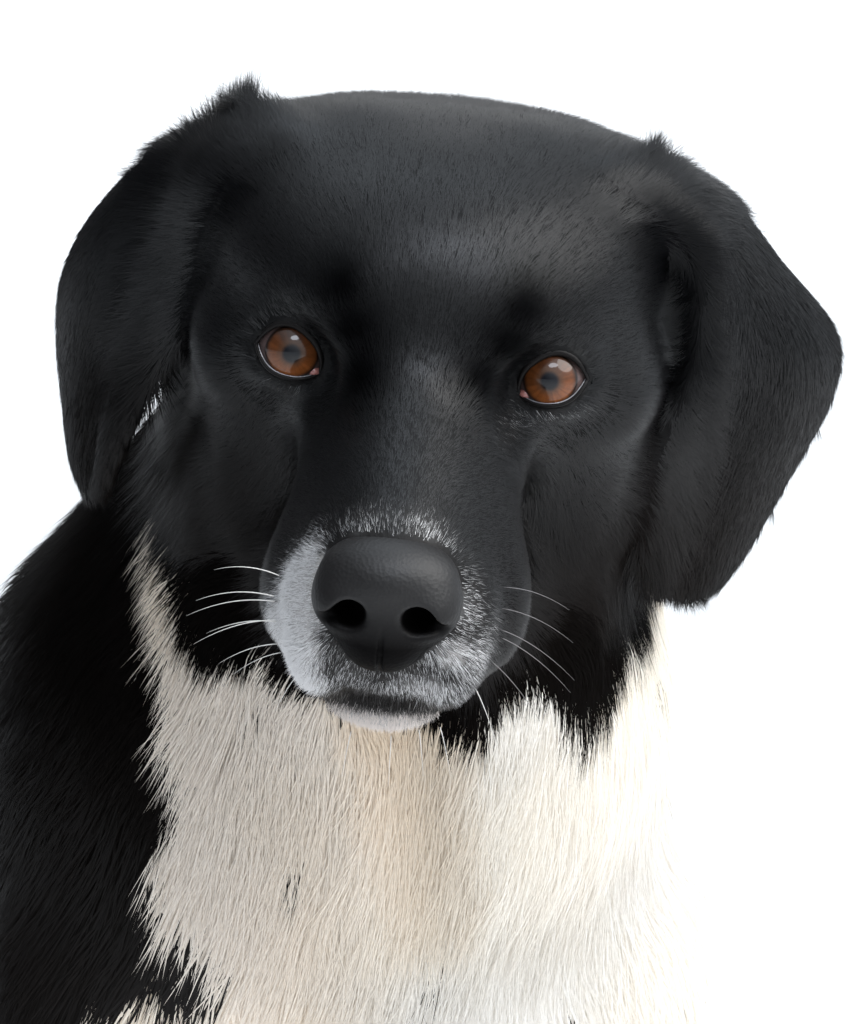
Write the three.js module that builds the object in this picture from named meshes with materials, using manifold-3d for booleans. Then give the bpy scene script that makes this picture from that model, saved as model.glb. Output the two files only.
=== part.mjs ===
// A sitting dog at life size: a soft-coated, medium-large farm dog that looks back over its right
// shoulder line. Millimetres, +Z up. The dog faces -Y, its left side is +X, and it sits on z = 0.
//
// The body is one blended solid of tapered limbs ("cones"), muscle masses ("eggs") and ear flaps
// ("flaps"), each given by a distance function. It is meshed on a graded grid, thinned with a
// quadric edge collapse, and then parted into named pieces by thin cuts.
import * as THREE from "three";
import { mergeVertices } from "three/addons/utils/BufferGeometryUtils.js";
import Module from "manifold-3d";

// ---------------------------------------------------------------- driving dimensions
const EYES = [-50, -289, 636]; // midpoint between the two eyes
const HEAD_YAW = -35; // degrees, turned towards the dog's right
const HEAD_PITCH = 18; // degrees, nose down
const HEAD_ROLL = 6; // degrees, tilted onto the dog's left ear
const EYE_RADIUS = 11.5;
const EYE_AT = [38.5, 6, 0]; // left eye's centre in the head's own frame
const LID_RADIUS = 13.9; // outer radius of the lids' bulge
// the slit between the lids: its corners lie `drop` below its middle, and the outer one is higher
const LID_OPENING = { width: 21.2, above: 10.2, below: 5, drop: 2.8, yaw: 1, pitch: -19, tilt: -19 };
const GAP = 0.8; // gap left by every flat parting cut
const EAR_GAP = 1.6; // wider, because the cut round an ear is curved
const FIT = 0.35; // clearance round the eyes, the nose and the claws
const FOOT_LEVEL = 0.5; // height at which the soles, rump and tail are cut flat
const BODY_TRIANGLES = 5600; // of the thinned body, before parting
const KEPT_SHARE = 0.6; // of a piece's triangles, once its cut edges are thinned too
const WELD = 1e-3; // corners this close are one corner
const TINY_EDGE = 0.05; // an edge this short goes first when a mesh is thinned
const FINE = 3.8; // grid step round the head
const COARSE = 8; // grid step elsewhere
const FRONT_PAW = [68, -193, 13.2]; // middle of the left front toes
const HIND_PAW = [127, -13, 13.2]; // middle of the left hind toes
const TOE = { radii: [10.5, 19, 14], spread: 8, blend: 5 };
const CLAW = { length: 12, root: 3.4, tip: 0.8, drop: 5, rings: 3, sides: 5 };

// ---------------------------------------------------------------- shape tables
// cone: tapered limb from `at` to `to`, `flat` scales its width in X
const cone = (at, to, ra, rb, flat, blend, both = false) => ({
  kind: "cone", at, to, radii: [ra, rb], flat, blend, both,
});
// egg: ellipsoid, `turned` is yaw, pitch and roll in degrees
const egg = (at, radii, blend, { turned = [0, 0, 0], both = false } = {}) => ({
  kind: "egg", at, radii, turned, blend, both,
});

const TRUNK = [
  cone([0, -92, 432], [0, -15, 372], 114, 120, 0.88, 1), // rib cage
  egg([0, -158, 418], [88, 66, 96], 30), // breast
  cone([0, -15, 372], [0, 62, 292], 120, 113, 0.88, 20),
  cone([0, 62, 292], [0, 132, 205], 113, 102, 0.9, 20), // loin
  cone([0, 132, 205], [0, 185, 122], 102, 96, 0.97, 20), // croup
  egg([0, 200, 80], [90, 66, 84], 20), // rump on the floor
  cone([0, -55, 496], [0, 60, 412], 44, 52, 0.9, 50), // withers
  cone([52, -62, 508], [86, -158, 405], 38, 50, 1, 34, true), // shoulder blade
  egg([55, -140, 480], [58, 64, 80], 44, { both: true }), // neck set
  egg([0, 85, 165], [80, 88, 85], 30), // belly
];
const FORELEG = [
  cone([86, -158, 395], [86, -88, 300], 46, 38, 0.8, 24, true), // upper arm
  cone([84, -92, 300], [72, -140, 135], 37, 25, 0.88, 16, true), // forearm
  cone([72, -140, 135], [70, -142, 112], 26, 26, 1, 8, true), // wrist
  cone([70, -142, 112], [68, -166, 40], 25, 26, 1, 10, true), // pastern
  egg([68, -178, 24], [30, 38, 25], 10, { both: true }),
];
const HINDLEG = [
  cone([64, 168, 140], [108, 36, 190], 94, 54, 0.64, 30, true), // thigh
  cone([112, 32, 184], [124, 150, 54], 46, 28, 0.8, 20, true), // shank
  cone([124, 168, 50], [124, 158, 32], 24, 27, 1, 8, true), // hock
  cone([124, 158, 26], [126, 30, 25], 26.6, 25.6, 1, 10, true), // metatarsus
  egg([127, 2, 24], [31, 38, 25], 10, { both: true }),
];
const TAIL = [
  cone([0, 248, 112], [6, 300, 60], 36, 38, 1, 24),
  cone([6, 300, 60], [30, 380, 38], 38, 39, 1, 16),
  cone([30, 380, 38], [90, 448, 32], 39, 33, 1, 16),
  cone([90, 448, 32], [160, 476, 15.5], 33, 16, 1, 16),
];
const NECK = [
  cone([5, -96, 455], [6, -149, 522], 115, 104, 0.95, 40),
  cone([6, -149, 522], [-3, -188, 584], 104, 82, 1, 20),
  cone([0, -180, 508], [-16, -214, 552], 92, 76, 1, 25), // throat
];
// the head's own frame: origin between the eyes, X to the dog's left, -Y along the gaze
const SKULL = [
  egg([0, 60, -3], [70, 76, 56], 1), // brain case
  egg([33, 62, 15], [36, 58, 37], 14, { both: true }), // temple
  egg([0, 30, 14], [48, 42, 34], 16), // forehead
  egg([20, 8, 14], [18, 18, 15], 12, { both: true }), // brow
  egg([50, 44, -14], [23, 40, 22], 14, { turned: [10, 0, 0], both: true }), // cheekbone
  egg([43, 54, -46], [31, 42, 44], 18, { both: true }), // jaw muscle
  egg([52, 88, -26], [35, 36, 60], 18, { both: true }), // ruff behind the cheek
  egg([0, 95, -24], [62, 50, 58], 25), // back of the skull
  cone([0, 6, -12], [0, -72, -29], 25, 20, 1, 16), // bridge of the nose
  cone([14, -2, -28], [12, -66, -41], 21, 19, 1, 12, true), // side of the muzzle
  egg([17, -60, -55], [15.5, 27, 24], 9, { turned: [5, 0, 0], both: true }), // front lip
  egg([25, -28, -57], [16, 34, 22], 14, { turned: [9, 0, 0], both: true }), // rear lip
  cone([0, -50, -70], [0, 24, -68], 16, 36, 1, 10), // lower jaw
  egg([0, -60, -75], [19, 15, 13], 8), // chin
  egg([0, -80, -38], [20, 15, 19], 6), // bed of the nose
  egg([54, 66, 20], [19, 27, 28], 12, { both: true }), // root of the ear
  egg([64, 84, -14], [18, 26, 38], 16, { both: true }), // fur under the ear
];
const NOSE = { at: [0, -87, -33], radii: [20.5, 14, 18] };
const NOSTRIL = { at: [9.5, -99, -36], radii: [4, 7, 4.6] };

// An ear is a bent flap: rows of its front edge, its back edge, how far its middle bulges
// outward and its half thickness. The skull's frame, root first.
const LEFT_EAR = [
  [[52, 49, 45], [73, 84, 37], 0, 12],
  [[70, 46, 38], [87, 92, 26], 3, 9],
  [[81, 44, 22], [103, 97, 3], 5, 6.5],
  [[84, 42, 0], [124, 98, -23], 6, 5],
  [[81, 41, -25], [128, 96, -42], 6, 4.6],
  [[73, 40, -50], [118, 90, -69], 6, 4.4],
  [[74, 42, -74], [107, 82, -94], 5, 4.2],
  [[80, 45, -93], [100, 72, -103], 2, 4],
];
const RIGHT_EAR = [
  [[-48, 49, 42], [-67, 84, 35], 0, 12],
  [[-65, 47, 33], [-91, 95, 16], 3, 9],
  [[-71, 48, 15], [-112, 102, -9], 5, 6.5],
  [[-77, 49, -8], [-123, 106, -34], 6, 5],
  [[-83, 49, -28], [-124, 106, -58], 6, 4.6],
  [[-89, 44, -49], [-120, 101, -78], 6, 4.4],
  [[-95, 45, -67], [-115, 90, -90], 5, 4.2],
  [[-100, 49, -81], [-110, 75, -93], 2, 4],
];

// ---------------------------------------------------------------- small maths
const rad = THREE.MathUtils.degToRad;
// rotation that yaws about Z, then pitches about X, then rolls about Y
function turn(yaw, pitch, roll) {
  const m = new THREE.Matrix4().makeRotationZ(rad(yaw));
  m.multiply(new THREE.Matrix4().makeRotationX(rad(pitch)));
  return m.multiply(new THREE.Matrix4().makeRotationY(rad(roll)));
}
const HEAD = turn(HEAD_YAW, HEAD_PITCH, HEAD_ROLL).setPosition(...EYES);
const TO_HEAD = HEAD.clone().invert();
const mirror = ([x, y, z]) => [-x, y, z];
const sub = (a, b) => [a[0] - b[0], a[1] - b[1], a[2] - b[2]];
const add = (a, b) => [a[0] + b[0], a[1] + b[1], a[2] + b[2]];
const scale = (a, s) => [a[0] * s, a[1] * s, a[2] * s];
const dot = (a, b) => a[0] * b[0] + a[1] * b[1] + a[2] * b[2];
const cross = (a, b) => [
  a[1] * b[2] - a[2] * b[1], a[2] * b[0] - a[0] * b[2], a[0] * b[1] - a[1] * b[0],
];
const clamp = THREE.MathUtils.clamp;

function smoothMin(a, b, k) {
  const h = clamp(0.5 + (0.5 * (b - a)) / k, 0, 1);
  return b + (a - b) * h - k * h * (1 - h);
}
const smoothMax = (a, b, k) => -smoothMin(-a, -b, k);

// ---------------------------------------------------------------- distance functions
function coneDistance({ at, to, radii, flat }) {
  const [bx, by, bz] = [(to[0] - at[0]) / flat, to[1] - at[1], to[2] - at[2]];
  const length2 = bx * bx + by * by + bz * bz;
  const shrink = Math.min(1, flat);
  return (x, y, z) => {
    const [px, py, pz] = [(x - at[0]) / flat, y - at[1], z - at[2]];
    const h = clamp((px * bx + py * by + pz * bz) / length2, 0, 1);
    const d = Math.hypot(px - h * bx, py - h * by, pz - h * bz);
    return (d - (radii[0] + (radii[1] - radii[0]) * h)) * shrink;
  };
}

function eggDistance({ at, radii, turned }) {
  const e = turn(...turned).elements; // columns are the egg's axes
  const [ax, ay, az] = radii;
  return (x, y, z) => {
    const [px, py, pz] = [x - at[0], y - at[1], z - at[2]];
    const u = px * e[0] + py * e[1] + pz * e[2];
    const v = px * e[4] + py * e[5] + pz * e[6];
    const w = px * e[8] + py * e[9] + pz * e[10];
    const k0 = Math.hypot(u / ax, v / ay, w / az);
    const k1 = Math.hypot(u / (ax * ax), v / (ay * ay), w / (az * az)) + 1e-6;
    return (k0 * (k0 - 1)) / k1;
  };
}

// Rows of a flap as middle, half width vector, outward bulge vector and half thickness.
function flapRows(ear) {
  const middle = ear.map(([front, back]) => scale(add(front, back), 0.5));
  return ear.map(([front, back, bulge, thick], i) => {
    const half = scale(sub(back, front), 0.5);
    const last = ear.length - 1;
    const along = sub(middle[Math.min(i + 1, last)], middle[Math.max(i - 1, 0)]);
    let out = cross(half, along);
    out = scale(out, Math.sign(out[0] * middle[i][0]) / Math.hypot(...out));
    return [...middle[i], ...half, ...scale(out, bulge), thick];
  });
}

// Catmull-Rom value and slope of the rows at u.
function spline(rows, u) {
  const i = clamp(Math.floor(u), 0, rows.length - 2);
  const t = u - i;
  const before = rows[Math.max(i - 1, 0)];
  const [p, q] = [rows[i], rows[i + 1]];
  const after = rows[Math.min(i + 2, rows.length - 1)];
  const value = [];
  const slope = [];
  for (let k = 0; k < p.length; k++) {
    const a = q[k] - before[k];
    const b = 2 * before[k] - 5 * p[k] + 4 * q[k] - after[k];
    const c = 3 * p[k] - before[k] - 3 * q[k] + after[k];
    value.push(0.5 * (2 * p[k] + t * (a + t * (b + t * c))));
    slope.push(0.5 * (a + t * (2 * b + t * 3 * c)));
  }
  return [value, slope];
}
// point of the flap's middle surface from a row value, v runs from -1 (front) to 1 (back)
const across = (row, v) => [0, 1, 2].map((k) => row[k] + v * row[k + 3] + (1 - v * v) * row[k + 6]);

function flapDistance(ear) {
  const rows = flapRows(ear);
  const box = new THREE.Box3();
  for (const row of rows) {
    box.expandByPoint(new THREE.Vector3(...across(row, -1)));
    box.expandByPoint(new THREE.Vector3(...across(row, 1)));
  }
  box.expandByScalar(30);
  const seeds = [];
  for (let u = 0; u <= rows.length - 1; u += 0.5) {
    for (const v of [-0.9, -0.45, 0, 0.45, 0.9]) seeds.push({ u, v, at: across(spline(rows, u)[0], v) });
  }
  const probe = new THREE.Vector3();
  return (x, y, z) => {
    const outside = box.distanceToPoint(probe.set(x, y, z));
    if (outside > 0) return outside + 20;
    const p = [x, y, z];
    let start = seeds[0];
    let best = Infinity;
    for (const seed of seeds) {
      const d = Math.hypot(x - seed.at[0], y - seed.at[1], z - seed.at[2]);
      if (d < best) [best, start] = [d, seed];
    }
    let { u, v } = start;
    let nearest = [best, u, v];
    for (let step = 0; step < 6; step++) {
      const [row, slope] = spline(rows, u);
      const gap = sub(p, across(row, v));
      const d = Math.hypot(...gap);
      if (d < nearest[0]) nearest = [d, u, v];
      const du = across(slope, v);
      const dv = [0, 1, 2].map((k) => row[k + 3] - 2 * v * row[k + 6]);
      const [a, b, c] = [dot(du, du) + 1e-3, dot(du, dv), dot(dv, dv) + 1e-3];
      const [e, f] = [dot(gap, du), dot(gap, dv)];
      const det = a * c - b * b + 1e-3;
      u = clamp(u + clamp((e * c - f * b) / det, -0.7, 0.7), 0, rows.length - 1.001);
      v = clamp(v + clamp((a * f - b * e) / det, -0.7, 0.7), -1, 1);
    }
    const thick = spline(rows, nearest[1])[0][9];
    return nearest[0] - thick * (1 - 0.25 * nearest[2] ** 2);
  };
}

// A list of shapes, with the mirror image of each that is there on both sides.
function compile(shapes) {
  const out = [];
  for (const shape of shapes) {
    const make = shape.kind === "cone" ? coneDistance : eggDistance;
    out.push({ blend: shape.blend, distance: make(shape) });
    if (!shape.both) continue;
    const twin = { ...shape, at: mirror(shape.at) };
    if (shape.kind === "cone") twin.to = mirror(shape.to);
    else twin.turned = [-shape.turned[0], shape.turned[1], -shape.turned[2]];
    out.push({ blend: shape.blend, distance: make(twin) });
  }
  return (x, y, z) => {
    let f = out[0].distance(x, y, z);
    for (let i = 1; i < out.length; i++) f = smoothMin(f, out[i].distance(x, y, z), out[i].blend);
    return f;
  };
}

// Centre, fan angle and side of the four toes of one paw.
function toePlaces([x, y, z]) {
  const fan = [[-22, 4, 1], [-8, -8, 0.3], [8, -8, -0.3], [22, 4, -1]];
  return fan.map(([dx, dy, turned]) => ({ at: [x + dx, y + dy, z], yaw: -turned * TOE.spread }));
}
const toes = (paw) => toePlaces(paw).map(
  ({ at, yaw }) => egg(at, TOE.radii, TOE.blend, { turned: [yaw, 0, 0] }),
);

const trunk = compile(TRUNK);
const foreleg = compile([...FORELEG, ...toes(FRONT_PAW), ...toes(mirror(FRONT_PAW))]);
const hindleg = compile([...HINDLEG, ...toes(HIND_PAW), ...toes(mirror(HIND_PAW))]);
const tail = compile(TAIL);
const neck = compile(NECK);
const skull = compile(SKULL);
const ears = [flapDistance(LEFT_EAR), flapDistance(RIGHT_EAR)];
const eyeSides = [1, -1].map((side) => {
  const at = [side * EYE_AT[0], EYE_AT[1], EYE_AT[2]];
  const front = add(at, [side * 1.5, -15, 0]);
  return {
    hollow: eggDistance({ at: front, radii: [14, 14, 12], turned: [0, 0, 0] }),
    lids: eggDistance({ at, radii: Array(3).fill(LID_RADIUS), turned: [0, 0, 0] }),
  };
});

function headField(x, y, z) {
  let f = skull(x, y, z);
  for (const { hollow, lids } of eyeSides) {
    f = smoothMax(f, -hollow(x, y, z), 8);
    f = smoothMin(f, lids(x, y, z), 3);
  }
  return f;
}

const inHead = new THREE.Vector3();
function field(x, y, z) {
  let f = trunk(x, y, z);
  f = smoothMin(f, foreleg(x, y, z), 24);
  f = smoothMin(f, hindleg(x, y, z), 16);
  f = smoothMin(f, tail(x, y, z), 26);
  f = smoothMin(f, neck(x, y, z), 34);
  const { x: u, y: v, z: w } = inHead.set(x, y, z).applyMatrix4(TO_HEAD);
  f = smoothMin(f, headField(u, v, w), 18);
  for (const ear of ears) f = smoothMin(f, ear(u, v, w), 8);
  return f;
}

// ---------------------------------------------------------------- meshing
// Grid lines from low to high: COARSE steps outside the fine range, FINE steps in it.
function gridLines(low, high, fineLow, fineHigh) {
  const lines = [];
  for (let x = fineLow; x > low - COARSE; x -= COARSE) lines.unshift(x);
  for (let x = fineLow + FINE; x < fineHigh; x += FINE) lines.push(x);
  for (let x = fineHigh; x < high + COARSE; x += COARSE) lines.push(x);
  return lines;
}

// Field values at the grid points; blocks far from the surface keep only their sign.
function sampleGrid([xs, ys, zs]) {
  const [nx, ny, nz] = [xs.length, ys.length, zs.length];
  const values = new Float32Array(nx * ny * nz);
  const block = 4;
  const mid = (lines, i) => {
    const j = Math.min(i + block, lines.length) - 1;
    return [(lines[i] + lines[j]) / 2, (lines[j] - lines[i]) / 2, j];
  };
  for (let i = 0; i < nx; i += block) {
    for (let j = 0; j < ny; j += block) {
      for (let k = 0; k < nz; k += block) {
        const [[cx, hx, i1], [cy, hy, j1], [cz, hz, k1]] = [mid(xs, i), mid(ys, j), mid(zs, k)];
        const centre = field(cx, cy, cz);
        const far = Math.abs(centre) > Math.hypot(hx, hy, hz) * 1.6 + 6;
        for (let a = i; a <= i1; a++) {
          for (let b = j; b <= j1; b++) {
            for (let c = k; c <= k1; c++) {
              values[(a * ny + b) * nz + c] = far ? centre : field(xs[a], ys[b], zs[c]);
            }
          }
        }
      }
    }
  }
  return values;
}

// Surface nets: one vertex in each cell that the surface passes, one quad for each crossed edge.
function surfaceNets(axes, values) {
  const [xs, ys, zs] = axes;
  const size = axes.map((a) => a.length);
  const stride = [size[1] * size[2], size[2], 1];
  const vertexOf = new Int32Array(values.length).fill(-1);
  const points = [];
  const corners = [];
  for (let c = 0; c < 8; c++) corners.push([c & 1, (c >> 1) & 1, (c >> 2) & 1]);
  const edges = [];
  for (let a = 0; a < 8; a++) {
    for (let b = a + 1; b < 8; b++) {
      if (corners[a].filter((v, k) => v !== corners[b][k]).length === 1) edges.push([a, b]);
    }
  }
  for (let i = 0; i + 1 < size[0]; i++) {
    for (let j = 0; j + 1 < size[1]; j++) {
      for (let k = 0; k + 1 < size[2]; k++) {
        const base = i * stride[0] + j * stride[1] + k;
        const f = corners.map((c) => values[base + c[0] * stride[0] + c[1] * stride[1] + c[2]]);
        const inside = f.filter((v) => v < 0).length;
        if (inside === 0 || inside === 8) continue;
        const at = corners.map((c) => [xs[i + c[0]], ys[j + c[1]], zs[k + c[2]]]);
        let [sum, hits] = [[0, 0, 0], 0];
        for (const [a, b] of edges) {
          if (f[a] < 0 === f[b] < 0) continue;
          const t = f[a] / (f[a] - f[b]);
          sum = add(sum, add(scale(at[a], 1 - t), scale(at[b], t)));
          hits++;
        }
        vertexOf[base] = points.length;
        points.push(scale(sum, 1 / hits));
      }
    }
  }
  const triangles = [];
  for (let axis = 0; axis < 3; axis++) {
    const [o1, o2] = [(axis + 1) % 3, (axis + 2) % 3];
    const index = [0, 0, 0];
    for (index[0] = 0; index[0] + 1 < size[0]; index[0]++) {
      for (index[1] = 0; index[1] + 1 < size[1]; index[1]++) {
        for (index[2] = 0; index[2] + 1 < size[2]; index[2]++) {
          if (!index[o1] || !index[o2]) continue;
          const base = index[0] * stride[0] + index[1] * stride[1] + index[2];
          const startsInside = values[base] < 0;
          if (startsInside === values[base + stride[axis]] < 0) continue;
          const ring = [base - stride[o1] - stride[o2], base - stride[o2], base, base - stride[o1]]
            .map((cell) => vertexOf[cell]);
          if (!startsInside) ring.reverse();
          triangles.push([ring[0], ring[1], ring[2]], [ring[0], ring[2], ring[3]]);
        }
      }
    }
  }
  return { points, triangles };
}

// Moves each point onto the field's surface along the field's slope.
function settle(points, steps) {
  const reach = 0.5;
  for (let step = 0; step < steps; step++) {
    for (const p of points) {
      const f = field(...p);
      const slope = [0, 1, 2].map((k) => {
        const q = [...p];
        q[k] += reach;
        return (field(...q) - f) / reach;
      });
      const shift = clamp((-f / (dot(slope, slope) + 1e-6)) * 0.8, -3, 3);
      for (let k = 0; k < 3; k++) p[k] += slope[k] * shift;
    }
  }
}

// ---------------------------------------------------------------- thinning
class Heap {
  constructor() {
    this.items = [];
  }
  push(item) {
    const { items } = this;
    let i = items.push(item) - 1;
    while (i > 0) {
      const parent = (i - 1) >> 1;
      if (items[parent].cost <= item.cost) break;
      items[i] = items[parent];
      i = parent;
    }
    items[i] = item;
  }
  pop() {
    const { items } = this;
    const top = items[0];
    const item = items.pop();
    if (!items.length) return top;
    let i = 0;
    for (;;) {
      let child = 2 * i + 1;
      if (child >= items.length) break;
      if (child + 1 < items.length && items[child + 1].cost < items[child].cost) child++;
      if (items[child].cost >= item.cost) break;
      items[i] = items[child];
      i = child;
    }
    items[i] = item;
    return top;
  }
}

const normalOf = (a, b, c) => cross(sub(b, a), sub(c, a));

// Adds a face's plane to a symmetric 4x4 quadric kept as ten numbers.
function addPlane(q, n, d, weight) {
  const [a, b, c] = n;
  const terms = [a * a, a * b, a * c, a * d, b * b, b * c, b * d, c * c, c * d, d * d];
  for (let k = 0; k < 10; k++) q[k] += terms[k] * weight;
}
const quadricAt = (q, [x, y, z]) =>
  q[0] * x * x + 2 * q[1] * x * y + 2 * q[2] * x * z + 2 * q[3] * x + q[4] * y * y +
  2 * q[5] * y * z + 2 * q[6] * y + q[7] * z * z + 2 * q[8] * z + q[9];

// The point with the least quadric error, or null where the quadric is flat.
function bestPoint(q) {
  const rows = [[q[0], q[1], q[2]], [q[1], q[4], q[5]], [q[2], q[5], q[7]]];
  const right = [-q[3], -q[6], -q[8]];
  const det = dot(rows[0], cross(rows[1], rows[2]));
  const size = q[0] + q[4] + q[7];
  if (Math.abs(det) < 1e-5 * size ** 3) return null;
  const columns = [0, 1, 2].map((k) => rows.map((row) => row[k]));
  const solve = (k) => {
    const m = columns.map((column, j) => (j === k ? right : column));
    return dot(m[0], cross(m[1], m[2])) / det;
  };
  return [solve(0), solve(1), solve(2)];
}

// Quadric edge collapse down to `target` faces. `weightOf` says how much a place matters.
function thin({ points, triangles }, target, weightOf) {
  const faces = triangles.map((t) => [...t]);
  const around = points.map(() => new Set());
  const quadrics = points.map(() => new Float64Array(10));
  faces.forEach((face, i) => {
    const corners = face.map((v) => points[v]);
    const normal = normalOf(...corners);
    const size = Math.hypot(...normal) || 1e-9;
    const n = scale(normal, 1 / size);
    const weight = size * weightOf(corners[0]);
    for (const v of face) {
      around[v].add(i);
      addPlane(quadrics[v], n, -dot(n, corners[0]), weight);
    }
  });
  const stamp = new Int32Array(points.length);
  const heap = new Heap();
  const neighbours = (v) => {
    const out = new Set();
    for (const f of around[v]) for (const w of faces[f]) if (w !== v) out.add(w);
    return out;
  };
  const offer = (a, b) => {
    const q = quadrics[a].map((value, k) => value + quadrics[b][k]);
    const middle = scale(add(points[a], points[b]), 0.5);
    const length = Math.hypot(...sub(points[a], points[b]));
    let at = bestPoint(q);
    if (!at || Math.hypot(...sub(at, middle)) > length) at = middle;
    const tiny = length < TINY_EDGE;
    const cost = tiny ? length - TINY_EDGE : quadricAt(q, at) + 1e-4 * length ** 4 * weightOf(middle);
    heap.push({ a, b, at, q, cost, tiny, sa: stamp[a], sb: stamp[b] });
  };
  const flips = (v, other, at) => {
    for (const f of around[v]) {
      const face = faces[f];
      if (face.includes(other)) continue;
      const before = normalOf(...face.map((w) => points[w]));
      const after = normalOf(...face.map((w) => (w === v ? at : points[w])));
      if (dot(before, after) < 0.3 * Math.hypot(...before) * Math.hypot(...after)) return true;
    }
    return false;
  };
  for (const face of faces) {
    for (let k = 0; k < 3; k++) {
      const [from, to] = [face[k], face[(k + 1) % 3]];
      if (from < to) offer(from, to);
    }
  }
  let count = faces.length;
  while (count > target && heap.items.length) {
    const { a, b, at, q, tiny, sa, sb } = heap.pop();
    if (stamp[a] !== sa || stamp[b] !== sb) continue;
    const ringB = neighbours(b);
    let shared = 0;
    for (const v of neighbours(a)) if (ringB.has(v)) shared++;
    if (shared !== 2) continue;
    if (!tiny && (flips(a, b, at) || flips(b, a, at))) continue;
    for (const f of [...around[b]]) {
      const face = faces[f];
      if (face.includes(a)) {
        for (const v of face) around[v].delete(f);
        faces[f] = null;
        count--;
      } else {
        face[face.indexOf(b)] = a;
        around[a].add(f);
      }
    }
    around[b].clear();
    points[a] = at;
    quadrics[a] = q;
    stamp[a]++;
    stamp[b] = -1;
    for (const v of neighbours(a)) {
      stamp[v]++;
    }
    for (const v of neighbours(a)) {
      offer(a, v);
      for (const w of neighbours(v)) if (w !== a) offer(v, w);
    }
  }
  return { points, triangles: faces.filter((face) => face) };
}

// ---------------------------------------------------------------- solids
const wasm = await Module();
wasm.setup();

function solidOf(geometry) {
  const bare = geometry.clone();
  for (const name of Object.keys(bare.attributes)) if (name !== "position") bare.deleteAttribute(name);
  const merged = mergeVertices(bare, 1e-4);
  return new wasm.Manifold(new wasm.Mesh({
    numProp: 3,
    vertProperties: new Float32Array(merged.attributes.position.array),
    triVerts: new Uint32Array(merged.index.array),
  }));
}

function geometryFrom(points, triangles) {
  const geometry = new THREE.BufferGeometry();
  geometry.setAttribute("position", new THREE.Float32BufferAttribute(points.flat(), 3));
  geometry.setIndex(triangles.flat());
  return geometry;
}

function geometryOf(solid) {
  const mesh = solid.getMesh();
  const geometry = new THREE.BufferGeometry();
  geometry.setAttribute("position", new THREE.BufferAttribute(mesh.vertProperties, 3));
  geometry.setIndex(new THREE.BufferAttribute(mesh.triVerts, 1));
  geometry.computeVertexNormals();
  return geometry;
}

// A box solid from its low and high corners, grown on every side.
function boxSolid(low, high, grow = 0) {
  const size = high.map((v, k) => v - low[k] + 2 * grow);
  const centre = high.map((v, k) => (v + low[k]) / 2);
  return solidOf(new THREE.BoxGeometry(...size).translate(...centre));
}

// An ellipsoid solid, grown evenly, placed by a matrix.
function eggSolid({ at, radii }, grow, matrix, segments = 16, rings = 10) {
  const geometry = new THREE.SphereGeometry(1, segments, rings);
  geometry.rotateX(Math.PI / 2);
  geometry.scale(...radii.map((r) => r + grow)).translate(...at);
  return solidOf(geometry.applyMatrix4(matrix));
}

// The slab of a sharp lens shape between the lids, from the eye's centre forward.
function lidOpening(side) {
  const { width, above, below, drop, yaw, pitch, tilt } = LID_OPENING;
  const arc = (rise) => {
    const radius = ((width / 2) ** 2 + rise ** 2) / (2 * rise);
    const half = Math.asin(width / 2 / radius);
    return { radius, half };
  };
  const [top, bottom] = [arc(above), arc(below)];
  const shape = new THREE.Shape();
  const up = Math.PI / 2;
  shape.absarc(0, above - top.radius - drop, top.radius, up - top.half, up + top.half);
  shape.absarc(0, bottom.radius - below - drop, bottom.radius, -up - bottom.half, -up + bottom.half);
  const geometry = new THREE.ExtrudeGeometry(shape, { depth: 40, bevelEnabled: false, curveSegments: 5 });
  geometry.rotateX(Math.PI / 2); // depth runs along -Y
  const place = turn(side * yaw, pitch, side * tilt).setPosition(side * EYE_AT[0], EYE_AT[1], EYE_AT[2]);
  return solidOf(geometry.applyMatrix4(place).applyMatrix4(HEAD));
}

// A closed flap a little thicker than the ear, from row `first` to past the tip.
function earCutter(ear, first, grow) {
  const rows = flapRows(ear);
  const [columns, steps] = [8, 20];
  const [points, triangles] = [[], []];
  const ring = 2 * columns;
  for (let s = 0; s <= steps; s++) {
    const u = first + ((rows.length - 1.001 - first) * s) / steps;
    const [row, slope] = spline(rows, u);
    const tip = Math.max(0, (s - steps + 2) / 2);
    for (let c = 0; c < ring; c++) {
      const angle = (2 * Math.PI * c) / ring;
      const v = Math.cos(angle);
      const dv = [0, 1, 2].map((k) => row[k + 3] - 2 * v * row[k + 6]);
      const normal = cross(dv, across(slope, v));
      const [out, side] = [scale(normal, 1 / Math.hypot(...normal)), scale(dv, 1 / Math.hypot(...dv))];
      const push = s === 0 ? -grow : tip * (row[9] + 3 + grow);
      const along = scale(across(slope, 0), push / Math.hypot(...across(slope, 0)));
      const lift = (row[9] + 3 + grow) * Math.sin(angle);
      const wider = scale(side, (row[9] + 3 + grow) * v);
      points.push(add(add(across(row, v), add(scale(out, lift), wider)), along));
    }
  }
  for (let s = 0; s < steps; s++) {
    for (let c = 0; c < ring; c++) {
      const [a, b] = [s * ring + c, s * ring + ((c + 1) % ring)];
      triangles.push([a, b, b + ring], [a, b + ring, a + ring]);
    }
  }
  for (let c = 1; c + 1 < ring; c++) {
    triangles.push([0, c + 1, c]);
    const end = steps * ring;
    triangles.push([end, end + c, end + c + 1]);
  }
  const solid = solidOf(geometryFrom(points, triangles).applyMatrix4(HEAD));
  if (solid.volume() > 0) return solid;
  return solidOf(geometryFrom(points, triangles.map((t) => [...t].reverse())).applyMatrix4(HEAD));
}

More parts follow.
